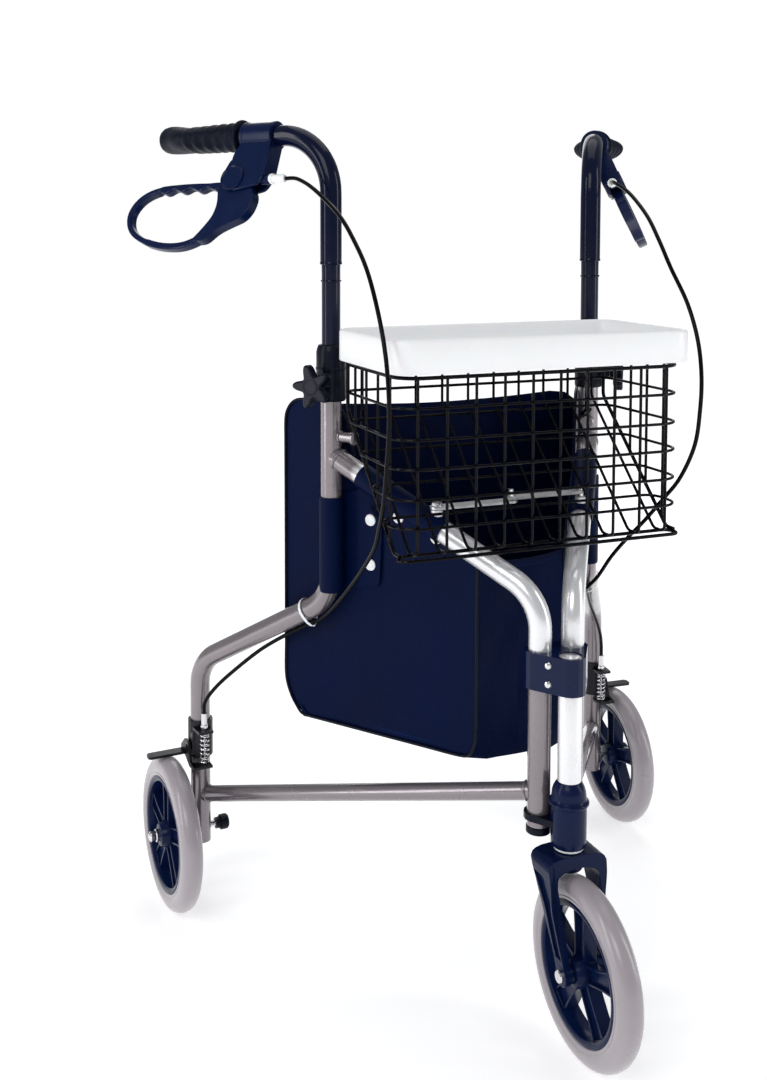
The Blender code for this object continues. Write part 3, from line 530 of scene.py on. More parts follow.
def bag_vinyl(name, colour):
    """Coated cloth: leathery grain with its grooves painted darker (painted shade), soft creases painted darker in
    their hollows and lighter on their ridges (painted shade and sheen), and stitches where the piece marks a seam.
    """
    f = Finish(name, Specular_IOR_Level=0.05)
    crease_and_shade = f.noise(17, 4, 0.55, f.stretched(1, 1, 0.6))
    # The creases' hollows are painted darker and their ridges lighter: painted shade and sheen.
    tone = f.blend(crease_and_shade, shade(colour, 0.72), shade(colour, 1.3))
    grain = f.ramp(f.cells(520, "DISTANCE_TO_EDGE"), 0, 0.2)
    # The grooves between the grain cells are painted darker: painted shade in the recesses.
    tone = f.blend((1 - grain) * 0.35, tone, shade(colour, 0.35))
    seam = f.node("ShaderNodeAttribute", {"attribute_name": "seam"}, out="Fac")
    run = f.node("ShaderNodeAttribute", {"attribute_name": "run"}, out="Fac")
    row = f.ramp(seam, 0.0006, 0.0011, 1, 0)
    stitch = row * (f.node("ShaderNodeMath", {"operation": "PINGPONG"}, {0: run, 1: 0.0024}) > 0.0007)
    tone = f.blend(stitch * 0.75, tone, shade(colour, 3.2))
    groove = f.ramp(seam, 0, 0.0032)
    weave = f.node("ShaderNodeTexWave", {"wave_type": "BANDS"}, {"Vector": f.where, "Scale": 420, "Distortion": 1.5})
    height = grain * 0.5 + weave * 0.12
    soft = f.bump(crease_and_shade, 0.35, 0.004)
    return f.wire(Base_Color=tone, Roughness=f.ramp(crease_and_shade, 0.3, 0.7, 0.34, 0.5) + stitch * 0.15,
                  Normal=f.bump(height + groove * 1.2 + stitch * 0.7, 0.4, 0.0005, soft))


# ---------------------------------------------------------------- settings

def colour_property(name, description, default):
    return FloatVectorProperty(name=name, description=description, subtype="COLOR", size=3,
                               default=default, min=0, max=1)


class WalkerSizes(bpy.types.PropertyGroup):
    tube_radius: FloatProperty(name="Frame tube radius", description="Outer radius of the main frame tubes",
                               default=0.0125, min=0.008, max=0.02, unit="LENGTH")
    wheel_radius: FloatProperty(name="Wheel radius", description="Outer radius of the three tyres",
                                default=0.095, min=0.07, max=0.12, unit="LENGTH")
    wire_radius: FloatProperty(name="Basket wire radius", description="Radius of the basket's wires",
                               default=0.0017, min=0.001, max=0.003, unit="LENGTH")
    cable_radius: FloatProperty(name="Brake cable radius", description="Radius of the brake cable's outer casing",
                                default=0.0024, min=0.0015, max=0.004, unit="LENGTH")
    spokes: IntProperty(name="Wheel spokes", description="Number of spokes in each wheel", default=5, min=3, max=8)
    basket_wires: IntProperty(name="Basket uprights", description="Number of upright wires across the basket's front",
                              default=10, min=4, max=16)


class WalkerColours(bpy.types.PropertyGroup):
    frame_grey: colour_property("Frame grey", "Enamel on the side frames", (0.2, 0.175, 0.19))
    silver: colour_property("Silver", "Head tube and upper front tubes", (0.82, 0.82, 0.84))
    navy: colour_property("Navy plastic", "Fork, wheel centres, brake housings and castings", (0.002, 0.008, 0.042))
    handle: colour_property("Handle enamel", "Gloss enamel on the handle tubes", (0.002, 0.004, 0.02))
    black: colour_property("Black plastic", "Collars, knobs and caps", (0.0015, 0.003, 0.011))
    wire_black: colour_property("Wire coat", "Powder coat on the basket wires", (0.0012, 0.0012, 0.003))
    tyre: colour_property("Tyre grey", "The three solid tyres", (0.36, 0.325, 0.35))
    tray: colour_property("Tray white", "The lift-off tray and small white fittings", (0.9, 0.91, 0.92))
    vinyl: colour_property("Bag navy", "The hanging bag", (0.0005, 0.0052, 0.034))
    chrome: colour_property("Bright steel", "Bolts, springs and nuts", (0.72, 0.72, 0.74))


FINISHES = {}


def finishes():
    """Every finish, made once from the chosen colours."""
    if not FINISHES:
        c = bpy.context.scene.walker_colours
        FINISHES.update(
            frame=frame_enamel("frame_enamel", tuple(c.frame_grey), tuple(c.silver)),
            silver=frame_enamel("silver_enamel", tuple(c.silver)),
            handle=gloss_enamel("handle_enamel", tuple(c.handle), 0.12),
            wire=gloss_enamel("wire_coat", tuple(c.wire_black), 0.2, 0.07),
            navy=moulded("navy_moulding", tuple(c.navy), 0.24),
            gloss_navy=gloss_enamel("navy_enamel", tuple(c.navy), 0.14),
            black=moulded("black_moulding", tuple(c.black), 0.36, 0.2),
            white=white_moulding("white_moulding", tuple(c.tray)),
            chrome=bright_steel("bright_steel", tuple(c.chrome)),
            zinc=bright_steel("zinc_plate", shade(tuple(c.chrome), 0.75), 0.3),
            iron=bright_steel("black_steel", (0.03, 0.03, 0.035), 0.34, False),
            tyre=tyre_rubber("tyre_rubber", tuple(c.tyre)),
            grip=grip_skin("grip_rubber", tuple(c.black)),
            vinyl=bag_vinyl("bag_vinyl", tuple(c.vinyl)),
            cable=gloss_enamel("cable_casing", (0.001, 0.001, 0.0025), 0.2, 0.07),
        )
    return FINISHES


# ---------------------------------------------------------------- pieces

class WALKER_OT_side_frames(bpy.types.Operator):
    """Bent and welded tube of the two folding sides"""
    bl_idname = "walker.side_frames"
    bl_label = "Side frames"

    def execute(self, context):
        r = context.scene.walker_sizes.tube_radius * 1000
        p = side_point
        parts = [
            bent("rear_tube", [p(270, 0, 716), p(270, 0, 428), p(474, 0, 312), p(474, 0, 78)], (55, 50), r, 40, 12),
            bent("front_tube", [p(0, 0, 226.5), p(0, 0, 473), p(265, 0, 598)], (55,), r, 40, 12),
            bent("rail", [p(3, 0, 262), p(467, 0, 140)], (), 10, 32),
            bent("stud", [p(266, 0, STUD_HEIGHT), p(238, 0, STUD_HEIGHT)], (), 6, 24),
        ]
        for centre, axis, radius in ((p(13, 0, 259.5), p(1, 0, -0.26) - p(0, 0, 0), 10.2),
                                     (p(461, 0, 141.5), p(1, 0, -0.26) - p(0, 0, 0), 10.2),
                                     (p(258.5, 0, 595), p(0.905, 0, 0.426) - p(0, 0, 0), 12.8),
                                     (p(257, 0, STUD_HEIGHT), p(1, 0, 0) - p(0, 0, 0), 6.3)):
            bead = [(radius + 1.3 * math.cos(a), 1.6 * math.sin(a)) for a in (math.tau * k / 8 for k in range(8))]
            parts.append(turned("weld_bead", bead, centre, axis, 32))
        axis = p(0, 0, 1) - p(0, 0, 0)
        parts.append(turned("stud_head", [(0, 0), (7.6, 0), (8.4, 0.8), (8.4, 2.6), (7.6, 3.4), (0, 3.4)],
                            p(239.4, 0, STUD_HEIGHT), p(-1, 0, 0) - p(0, 0, 0), 32))
        parts.append(turned("link_boss", [(0, 0), (6.4, 0), (7, 0.6), (7, 24.2), (6.2, 25), (0, 25)],
                            p(127, 0, 528), axis, 32))
        frame_piece = joined("right_side_frame_piece", parts)
        pair(frame_piece, "side_frame", finishes()["frame"], "frame", ["side_frame"])

        cap = turned("tube_cap", [(0, 0), (12.6, 0), (13.4, 0.8), (13.4, 6.6), (13, 7.6), (0, 7.6)],
                     p(0, 0, 218.1), axis, 40)
        pair(cap, "tube_cap", finishes()["black"], "frame", ["front_tube_cap"])
        return {"FINISHED"}


class WALKER_OT_head(bpy.types.Operator):
    """Head tube, head castings and the caster's swivel housing"""
    bl_idname = "walker.head"
    bl_label = "Head"

    def execute(self, context):
        f = finishes()
        head = turned("head_tube_piece", [(0, 243.2), (12.5, 243.2), (12.5, 415.4), (12.1, 416.4), (11, 416.9), (0, 416.9)],
                      mm(0, -187, 0), (0, 0, 1), 48)
        fit_out(head, f["silver"], "head", ["head_tube"])
        low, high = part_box("caster_housing")
        foot, top = low.z * 1000, high.z * 1000
        housing = turned("caster_housing_piece",
                         [(0, foot), (17.6, foot), (18.6, foot + 1.2), (18.9, foot + 8), (19, 257), (20.6, 258.2),
                          (21.5, 259.6), (21.5, 261.4), (20.8, 262.5), (19.4, 263), (18.6, 264.4), (18.4, 268),
                          (17.9, 272.5), (16.8, 276.6), (15.2, 280), (13.4, 282.4), (12.6, top), (0, top)],
                         mm(0, -187, 0), (0, 0, 1), 48, 50)
        fit_out(housing, f["navy"], "head", ["caster_housing"])
        for node, finish in (("upper_clamp", "gloss_navy"), ("lower_hinge_plate", "black"), ("clamp_rivet_lower", "chrome"),
                             ("clamp_rivet_upper", "chrome"), ("caster_washer", "white")):
            redress(node, f[finish])
        return {"FINISHED"}


def redress(node, finish):
    """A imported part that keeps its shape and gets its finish."""
    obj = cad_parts[node]
    if obj.material_slots:
        for spot in obj.material_slots:
            spot.material = finish
    else:
        obj.data.materials.append(finish)


def fork_middle(z):
    """Where the fork's casting is centred fore and aft at a height, and half its depth there."""
    down = min(max((203 - z) / 108, 0), 1)
    swell = min(max((z - 150) / 45, 0), 1)
    return -187 - 36 * down ** 1.15, 8.6 + 10.2 * swell * swell * (3 - 2 * swell)


class WALKER_OT_caster(bpy.types.Operator):
    """Swivelling front fork, one casting arched over the wheel"""
    bl_idname = "walker.caster"
    bl_label = "Front fork"

    def execute(self, context):
        f = finishes()
        heights = [200 - 4.6 * k for k in range(24)]
        right = [(35.2 - 5.8 * min(max((200 - z) / 90, 0), 1), z) for z in heights]
        inside = [(25.4 - 4.6 * min(max((184 - z) / 75, 0), 1), z) for z in reversed(heights) if z < 184]
        arch = [(25.4 * math.cos(a), 184 + 12.5 * math.sin(a) ** 0.7) for a in (math.pi * k / 16 for k in range(1, 16))]
        top = [(12, 209.2), (22, 208.6), (29, 206.8), (33, 204.2)]
        half = right + inside
        outline = [(0, 209.4)] + top + half + arch + [(-x, z) for x, z in reversed(top + half)]
        fork = slab("fork", outline, -1, 1, lambda x, z, y: mm(x, y, z), 0)
        for side in (1, -1):
            sink(fork, lambda face: face.normal.x * side > 0.9 and face.center.x * side > 0.028
                 and 0.108 < face.center.z < 0.19, 0.0005, (-0.0034 * side, 0, 0), False)
        for vertex in fork.data.vertices:
            middle, depth = fork_middle(vertex.co.z * 1000)
            share = vertex.co.y * 1000
            if abs(share) < 0.9:
                vertex.co.z += 0.0026 if vertex.co.z < 0.113 else (-0.0026 if vertex.co.z > 0.183 else 0)
            vertex.co.y = (middle + (depth if abs(share) > 0.9 else depth - 3.2) * (1 if share > 0 else -1)) * 0.001
        fork.data.update()
        fork = close_up(soften(fork, 1.7, 3, 35), "fork", 50)
        parts = [fork]
        for side in (-1, 1):
            parts.append(turned("fork_boss", [(0, 17.5), (9.4, 17.5), (10.2, 18.3), (10.6, 24), (10.6, 28.8), (9.8, 29.8), (0, 29.8)],
                                mm(0, -223, 95), (side, 0, 0), 36))
        parts.append(turned("crown_boss", [(0, 188.5), (14, 188.5), (15, 190), (15, 198), (0, 198)],
                            mm(0, -187, 0), (0, 0, 1), 40))
        fit_out(joined("caster_fork_piece", parts), f["navy"], "caster", ["caster_fork"])
        redress("front_axle_bolt", f["chrome"])
        return {"FINISHED"}


def wheel_parts(centre, spokes, radius):
    """A tyre and a spoked centre about a line along X."""
    axis, up, fore = Vector((-1, 0, 0)), Vector((0, 0, 1)), Vector((0, 1, 0))
    k = radius / 95
    tyre = [(71.2, -11.6), (72.4, -12.7), (74.6, -13), (75.2, -12.4), (76.2, -12.5), (77.2, -13.3), (81, -13.5),
            (86, -12.9), (89.6, -11.2), (92.4, -8.6), (94.3, -4.9), (95, 0)]
    tyre = tyre + [(r, -h) for r, h in reversed(tyre[:-1])]
    tyre = turned("front_tyre_piece", [(r * k, h) for r, h in tyre], centre, axis, 96, 50)
    rim = [(64.4, -10.6), (66, -11.8), (70, -12.2), (71.1, -11.5), (71.1, 11.5), (70, 12.2), (66, 11.8),
           (64.4, 10.6), (63, 4), (62.6, 0), (63, -4)]
    parts = [turned("rim", [(r * k, h) for r, h in rim], centre, axis, 96, 40)]
    hub = [(0, -16.9), (12, -16.9), (13.4, -16.2), (14.4, -14), (16.6, -9), (17.4, 0), (16.6, 9),
           (14.4, 14), (13.4, 16.2), (12, 16.9), (0, 16.9)]
    parts.append(turned("hub", hub, centre, axis, 48, 34))
    shape = [(13, -9.6), (24, -9.4), (44, -10), (65.5 * k, -12.6), (65.5 * k, 12.6), (44, 10), (24, 9.4),
             (13, 9.6)]
    spoke = slab("spoke", shape, -7.8, 7.8, lambda u, v, h: centre + (up * u + fore * v + axis * h) * 0.001, 0)
    for sign in (1, -1):
        sink(spoke, lambda face: face.normal.dot(axis) * sign > 0.8, 0.0026, axis * (-0.0045 * sign))
    soften(spoke, 0.7, 2)
    spoke = close_up(spoke, "spoke", 40)
    parts.append(spoke)
    for i in range(1, spokes):
        twin = copied(spoke)
        edit_all(twin)
        bpy.ops.transform.rotate(value=math.tau * i / spokes, orient_axis="X", orient_type="GLOBAL",
                                 center_override=centre)
        bpy.ops.object.mode_set(mode="OBJECT")
        parts.append(twin)
    return tyre, joined("front_wheel_piece", parts)


class WALKER_OT_wheels(bpy.types.Operator):
    """Three spoked wheels with solid grey tyres"""
    bl_idname = "walker.wheels"
    bl_label = "Wheels"

    def execute(self, context):
        f, sizes = finishes(), context.scene.walker_sizes
        front, rear = mm(0, -223, 95), corner_point(0, 0, 95)
        tyre, wheel = wheel_parts(front, sizes.spokes, sizes.wheel_radius * 1000)
        for piece, name, finish, slot in ((tyre, "tyre", "tyre", "grey_tyre"),
                                          (wheel, "wheel", "navy", "navy_plastic")):
            back = copied(piece)
            edit_all(back)
            bpy.ops.transform.rotate(value=-math.radians(4), orient_axis="Z", orient_type="GLOBAL",
                                     center_override=front)
            bpy.ops.transform.translate(value=rear - front)
            bpy.ops.object.mode_set(mode="OBJECT")
            fit_out(piece, f[finish], "front_wheel", [f"front_{name}"])
            pair(back, name, f[finish], "wheel", [f"rear_{name}"])
        return {"FINISHED"}


class WALKER_OT_handles(bpy.types.Operator):
    """Height-adjustable handle tubes, their collars and star knobs"""
    bl_idname = "walker.handles"
    bl_label = "Handles"

    def execute(self, context):
        f, p = finishes(), side_point
        r = context.scene.walker_sizes.tube_radius * 1000
        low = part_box("right_handle_tube")[0].z * 1000
        upper = bent("upper", [p(POST, 0, 824), p(POST, 0, GRIP_HEIGHT), p(518, 0, GRIP_HEIGHT)], (68,), r, 40, 16)
        axis = p(0, 0, 1) - p(0, 0, 0)
        step = turned("step", [(0, 823.2), (12.2, 823.2), (12.9, 823.8), (12.9, 826), (12.4, 826.8), (0, 826.8)],
                      p(POST, 0, 0), axis, 40)
        lower = turned("lower", [(0, low), (11, low), (11, 803), (12, 803.5), (12.3, 804.4), (12, 805.3),
                                 (11, 805.8), (11, 824), (0, 824)], p(POST, 0, 0), axis, 40)
        pair(joined("handle", [upper, step, lower]), "handle", f["handle"], "handle", ["handle_tube"])

        collar = turned("collar", [(13, 664.2), (16.2, 664), (17.2, 665.2), (17.5, 668), (17.5, 700), (18.2, 700.8),
                                   (18.2, 703.2), (17.5, 704), (17.5, 721), (16.6, 725), (15.2, 729.2),
                                   (14, 730), (11.4, 730), (11.4, 716.4), (13, 716.4)], p(POST, 0, 0), axis, 48)
        outward = p(0, 1, 0) - p(0, 0, 0)
        boss = turned("boss", [(0, 14), (9.6, 14), (9.2, 17), (9, 25.2), (8.2, 26), (0, 26)],
                      p(POST, 0, KNOB_HEIGHT), outward, 32)
        pair(joined("collar", [collar, boss]), "collar", f["black"], "frame", ["height_collar"])

        outline = []
        for k in range(80):
            a = math.tau * k / 80
            lobe = 0.5 + 0.5 * math.cos(5 * a)
            rr = 13.4 + 12.9 * lobe ** 1.35
            outline.append((rr * math.cos(a), rr * math.sin(a)))
        star = slab("star", outline, 31, 42.6, lambda u, v, n: p(POST + u, n, KNOB_HEIGHT + v), 2.6, smooth=60)
        neck = turned("neck", [(0, 26.4), (8.6, 26.4), (10, 28), (10.6, 32), (0, 32)], p(POST, 0, KNOB_HEIGHT), outward, 32)
        face = turned("face", [(0, 42), (10.4, 42), (10.2, 42.9), (8.6, 43), (8.2, 42.7), (0, 42.7)],
                      p(POST, 0, KNOB_HEIGHT), outward, 40)
        pair(joined("knob", [star, neck, face]), "star_knob", f["black"], "knob", ["star_knob"])
        return {"FINISHED"}


def palm_width(t):
    h = min(max(t - 397, 14), 117)
    rise = (h - 14) / 66 if h < 80 else (117 - h) / 37
    return 1 + 0.95 * rise * rise * (3 - 2 * rise)


class WALKER_OT_grips(bpy.types.Operator):
    """Shaped rubber grips with finger ridges and a widened palm rest"""
    bl_idname = "walker.grips"
    bl_label = "Grips"

    def execute(self, context):
        p = side_point
        profile = [(0, 397.2), (19.6, 397.2), (20.8, 398), (21, 399.6), (20.6, 401.4), (18.4, 402.6), (16.6, 404),
                   (16.2, 406)]
        for k in range(5):
            start = 408 + 13 * k
            profile += [(16.3, start), (17, start + 2.5), (17.9, start + 5), (18, start + 7),
                        (17.2, start + 9.5), (16.5, start + 11.5)]
        profile += [(16.6, 475), (17.3, 484), (17.7, 496), (17.7, 506), (17.2, 513), (16, 518.5), (14, 522),
                    (11, 524.2), (7, 524.9), (0, 525)]
        grip = turned("grip", profile, p(0, 0, GRIP_HEIGHT), p(1, 0, 0) - p(0, 0, 0), 64, 60)
        origin, along = p(0, 0, GRIP_HEIGHT), (p(1, 0, 0) - p(0, 0, 0)) * 1000
        across = (p(0, 1, 0) - p(0, 0, 0)) * 1000
        for vertex in grip.data.vertices:
            rel = (vertex.co - origin) * 1000
            t, n, z = rel.dot(along), rel.dot(across), rel.z
            wide = palm_width(t)
            drop = 1 - 0.16 * (wide - 1) / 0.95 if z > 0 else 1
            vertex.co = p(t, n * wide, GRIP_HEIGHT + z * drop)
        grip.data.update()
        pair(grip, "grip", finishes()["grip"], "handle", ["grip"])
        return {"FINISHED"}


class WALKER_OT_brake_levers(bpy.types.Operator):
    """Brake housings on the handles and their looped levers"""
    bl_idname = "walker.brake_levers"
    bl_label = "Brake levers"

    def execute(self, context):
        f = finishes()
        along = lever_point(1, 0, 0) - lever_point(0, 0, 0)
        across = lever_point(0, 0, 1) - lever_point(0, 0, 0)
        clamp = turned("clamp", [(12.7, 346), (16.8, 346), (17.6, 346.8), (17.6, 350.4), (16.9, 351.2), (16.9, 388),
                                 (17.6, 388.8), (17.6, 392.2), (16.8, 393), (12.7, 393)],
                       lever_point(0, 0, 0), along, 48)
        block = slab("block", rounded([(347.5, 12), (391.5, 12), (398.5, 30), (396.5, 43.5), (351, 43.5),
                                       (345, 30)], (3, 3, 8, 4, 3, 5)), -10.6, 10.6, lever_point, 2.2)
        web = slab("web", rounded([(345, 10), (350, 10), (350, 60), (342, 56)], 2), -12.4, 12.4,
                   lever_point, 1.2)
        cheek = rounded([(349, 34), (397.5, 34), (404, 52), (401.5, 67), (392, 76), (378, 76),
                         (349, 69), (343, 58)], (3, 6, 9, 7, 6, 6, 5, 5))
        parts = [clamp, block, web]
        for low, high in ((-11, -7.2), (7.2, 11)):
            parts.append(slab("cheek", cheek, low, high, lever_point, 1.1))
        pivot = lever_point(388, 60, 0)
        parts.append(turned("disc", [(0, 10), (16.4, 10), (16.4, 12.4), (15.6, 13.2), (14.4, 12.8), (13.4, 12.2),
                                     (0, 12.6)], pivot, across, 48))
        parts.append(turned("disc_back", [(0, -10), (12.2, -10), (12.2, -12.2), (11.4, -12.9), (0, -12.9)],
                            pivot, across, 40))
        nozzle = turned("nozzle", [(0, 340), (6.6, 340), (7.2, 341), (7.6, 350), (0, 350)],
                        lever_point(0, 57, 0), along, 32)
        housing = joined("housing", parts + [nozzle])
        pair(housing, "brake_housing", f["navy"], "handle", ["brake_housing"])

        path = smooth_line([Vector((*q, 0)) for q in ((401, 70), (430, 68), (470, 69), (506, 73), (530, 85), (540, 105),
                                                      (531, 126), (506, 140), (470, 147), (436, 144), (410, 128), (400, 100))],
                           8, True)
        outer, inner = [], []
        for i, spot in enumerate(path):
            ahead = (path[(i + 1) % len(path)] - path[i - 1]).normalized()
            normal = Vector((-ahead.y, ahead.x, 0))
            wave = 0
            if spot.y < 90 and 412 < spot.x < 505:
                wave = 2.4 * math.cos((spot.x - 412) / 93 * math.tau * 3.5)
            half = 4.3 - (0.7 if spot.x > 500 else 0)
            inner.append(tuple((spot + normal * (half + wave))[:2]))
            outer.append(tuple((spot - normal * half)[:2]))
        loop = slab("loop", outer, -6, 6, lever_point, 1.8, inner)
        root = slab("root", rounded([(382, 50), (396, 50), (410, 64), (408.5, 76), (404, 92), (406, 108),
                                     (416, 124), (430, 142), (410, 140), (396, 126), (380, 118),
                                     (362, 110), (354, 98), (352, 80), (364, 64)],
                                    (5, 6, 5, 8, 8, 8, 8, 3, 6, 8, 8, 9, 7, 8, 10)), -6.6, 6.6, lever_point, 1.6)
        pair(joined("lever", [loop, root]), "brake_lever", f["navy"], "lever", ["brake_lever"])
        for tag in ("right", "left"):
            redress(f"{tag}_cable_adjuster", f["white"])
        return {"FINISHED"}


CABLE_ROUTE = ((316.8, 24.1, 923.3), (296, 29, 922), (258, 48, 908), (211, 70, 880), (180, 85, 850), (156, 98, 820),
               (131, 117, 780), (115, 128.5, 740), (108, 133, 700), (108, 132, 660), (114, 127, 620), (127, 112, 580),
               (144, 93, 550), (163, 73, 520), (190, 52, 490), (220, 33, 459), (255, 16, 424), (282, 3, 402.3),
               (300, 0, 392.8), (340, 0, 369.5), (375, 2, 346), (410, 8, 316), (437, 12, 290), (454, 13.1, 268),
               (456.3, 13.2, 252.9))


class WALKER_OT_brake_cables(bpy.types.Operator):
    """Brake cables from the levers to the wheels, with their ties"""
    bl_idname = "walker.brake_cables"
    bl_label = "Brake cables"

    def execute(self, context):
        f = finishes()
        radius = context.scene.walker_sizes.cable_radius * 1000
        line = smooth_line([side_point(*q) for q in CABLE_ROUTE], 10)
        cable = drawn("cable", line, radius, 14)
        for side, tag in ((1, "left"), (-1, "right")):
            piece = mirrored(cable, "left_cable") if side > 0 else cable
            piece.name = piece.data.name = f"{tag}_brake_cable_piece"
            fit_out(piece, f["cable"], None, [f"{tag}_brake_cable"])
            side_point(300, 30, 920, side)
            side_point(150, 90, 560, side)
            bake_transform(piece)
            redress(f"{tag}_cable_tie", f["white"])
            redress(f"{tag}_cable_ferrule", f["chrome"])
        return {"FINISHED"}


class WALKER_OT_rear_brakes(bpy.types.Operator):
    """Return springs, brake arms, brackets, axles and axle knobs"""
    bl_idname = "walker.rear_brakes"
    bl_label = "Rear brakes"

    def execute(self, context):
        f = finishes()
        points = []
        for k in range(6 * 24 + 49):
            turns = k / 24
            if turns < 1:
                z = 188.9 + 1.3 * turns
            elif turns > 7:
                z = 224.6 + 1.3 * (turns - 7)
            else:
                z = 190.2 + 34.4 * (turns - 1) / 6
            a = math.tau * turns
            points.append(corner_point(-37 + 5.2 * math.cos(a), -22 + 5.2 * math.sin(a), z))
        spring = drawn("spring", points, 1.05, 8)
        for side, tag in ((1, "left"), (-1, "right")):
            piece = mirrored(spring, "left_spring") if side > 0 else spring
            piece.name = piece.data.name = f"{tag}_brake_spring_piece"
            fit_out(piece, f["chrome"], f"{tag}_frame", [f"{tag}_brake_spring"])
            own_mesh(piece)
            for node, finish in (("rear_axle", "chrome"), ("axle_knob", "black"), ("brake_bracket", "iron"),
                                 ("brake_arm", "iron")):
                redress(f"{tag}_{node}", f[finish])
        return {"FINISHED"}


class WALKER_OT_link(bpy.types.Operator):
    """Folding link between the side frames"""
    bl_idname = "walker.link"
    bl_label = "Folding link"

    def execute(self, context):
        f = finishes()
        for tag in ("right", "left"):
            redress(f"{tag}_link_arm", f["zinc"])
            redress(f"{tag}_link_bolt", f["chrome"])
        redress("link_centre_bolt", f["chrome"])
        return {"FINISHED"}


def basket_back(z):
    """Where the basket's rear face stands at a height."""
    return min(24.6, -105 + (z - 530) * 1.04)


class WALKER_OT_basket(bpy.types.Operator):
    """Welded wire basket that hangs in front of the handles"""
    bl_idname = "walker.basket"
    bl_label = "Basket"

    def execute(self, context):
        sizes = context.scene.walker_sizes
        r = sizes.wire_radius * 1000
        half, front, gap = 174.2, -137.2, 2 * r - 0.2
        parts = []
        for z in (712, 680, 647, 616, 584, 554, 521):
            back = basket_back(z) if z > 530 else -116
            w, corner = half - (3 if z < 530 else 0), min(27, (back - front) / 2 - 0.6)
            loop = [mm(x, y, z) for x, y in ((0, front), (w, front), (w, back), (-w, back), (-w, front), (0, front))]
            thick = r * (1.25 if z in (712, 521) else 1)
            bends = (corner, min(16, corner), min(16, corner), corner)
            parts.append(bent("hoop", loop, bends, thick, 8, 6, True))
        count = sizes.basket_wires
        first = bent("upright", [mm(-153, front + gap, 713.5), mm(-153, front + gap, 521 + gap),
                                 mm(-153, -113, 521 + gap), mm(-153, 24.6 - gap, 656 + gap),
                                 mm(-153, 24.6 - gap, 713.5)], (7, 9, 12), r, 8, 4)
        parts.append(first)
        pitch = 306 / (count - 1)
        for i in range(1, count):
            twin = copied(first)
            bpy.ops.transform.translate(value=(pitch * i * 0.001, 0, 0))
            bpy.ops.object.transform_apply(location=True, rotation=False, scale=False)
            parts.append(twin)
        sides = []
        for y in (-103, -70, -37, -4):
            foot = 530 + (y + 105) / 1.04
            sides.append(bent("side_wire", [mm(-half + gap, y, 713.5), mm(-half + gap, y, foot - 1)], (), r, 8))
        edge = bent("edge_wire", [mm(-half + gap + 1, front + 10, 521 + gap), mm(-half + gap + 1, -113, 521 + gap),
                                  mm(-half + gap + 1, 21.5, 655 + gap), mm(-half + gap + 1, 21.5, 713.5)],
                    (9, 12), r * 1.3, 10, 4)
        hook = bent("hook", [mm(-150, 27.6, 704), mm(-150, 27.6, 640), mm(-150, 39, 633),
                             mm(-157, 39.4, 629.4), mm(-160.5, 34, 640)], (5, 3, 3), r * 1.2, 8, 4)
        sides += [edge, hook]
        for piece in list(sides):
            sides.append(mirrored(piece, "left_" + piece.name))
        basket = joined("basket_piece", parts + sides)
        fit_out(basket, finishes()["wire"], "basket", ["basket"])
        return {"FINISHED"}


class WALKER_OT_tray(bpy.types.Operator):
    """Lift-off tray with a raised rim"""
    bl_idname = "walker.tray"
    bl_label = "Tray"

    def execute(self, context):
        low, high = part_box("tray")
        x, y0, y1, z0, z1 = high.x * 1000, low.y * 1000, high.y * 1000, low.z * 1000, high.z * 1000

        def outline(inset, corner):
            return rounded([(-x + inset, y0 + inset), (x - inset, y0 + inset), (x - inset, y1 - inset),
                            (-x + inset, y1 - inset)], corner, 8)

        levels = [(3, 24, z0 + 14), (3.4, 24, z0 + 0.2), (0.6, 26, z0), (0, 26, z0 + 0.8), (0.2, 26, z1 - 3),
                  (0.9, 25.4, z1 - 0.9), (2.4, 24.6, z1), (4, 23.6, z1 - 0.9), (4.9, 23, z1 - 3.2), (6.6, 21.6, z0 + 24),
                  (8.2, 20.2, z0 + 19.4), (12, 18, z0 + 17.2), (17, 15, z0 + 16.8)]
        clear_selection()
        bpy.ops.mesh.primitive_circle_add(vertices=36, fill_type="NGON", location=(0, 0, 0))
        tray = ring_on(bpy.context.object, [mm(u, v, levels[0][2]) for u, v in outline(*levels[0][:2])])
        for inset, corner, z in levels[1:]:
            bpy.ops.object.mode_set(mode="EDIT")
            bpy.ops.mesh.extrude_region_move(TRANSFORM_OT_translate={"value": (0, 0, 0)})
            bpy.ops.object.mode_set(mode="OBJECT")
            chosen = [v for v in tray.data.vertices if v.select]
            for vertex, (u, v) in zip(chosen, outline(inset, corner)):
                vertex.co = mm(u, v, z)
        close_up(tray, "tray_piece", 50)
        fit_out(tray, finishes()["white"], "tray", ["tray"])
        return {"FINISHED"}


RIM_STATIONS = ((348, 632), (345, 645), (337, 655), (325, 659.5), (300, 660), (274, 655), (258, 640),
                (250, 606), (236, 566), (208, 549), (180, 537), (155, 527), (130, 518),
                (108, 510), (94, 505), (84, 500))


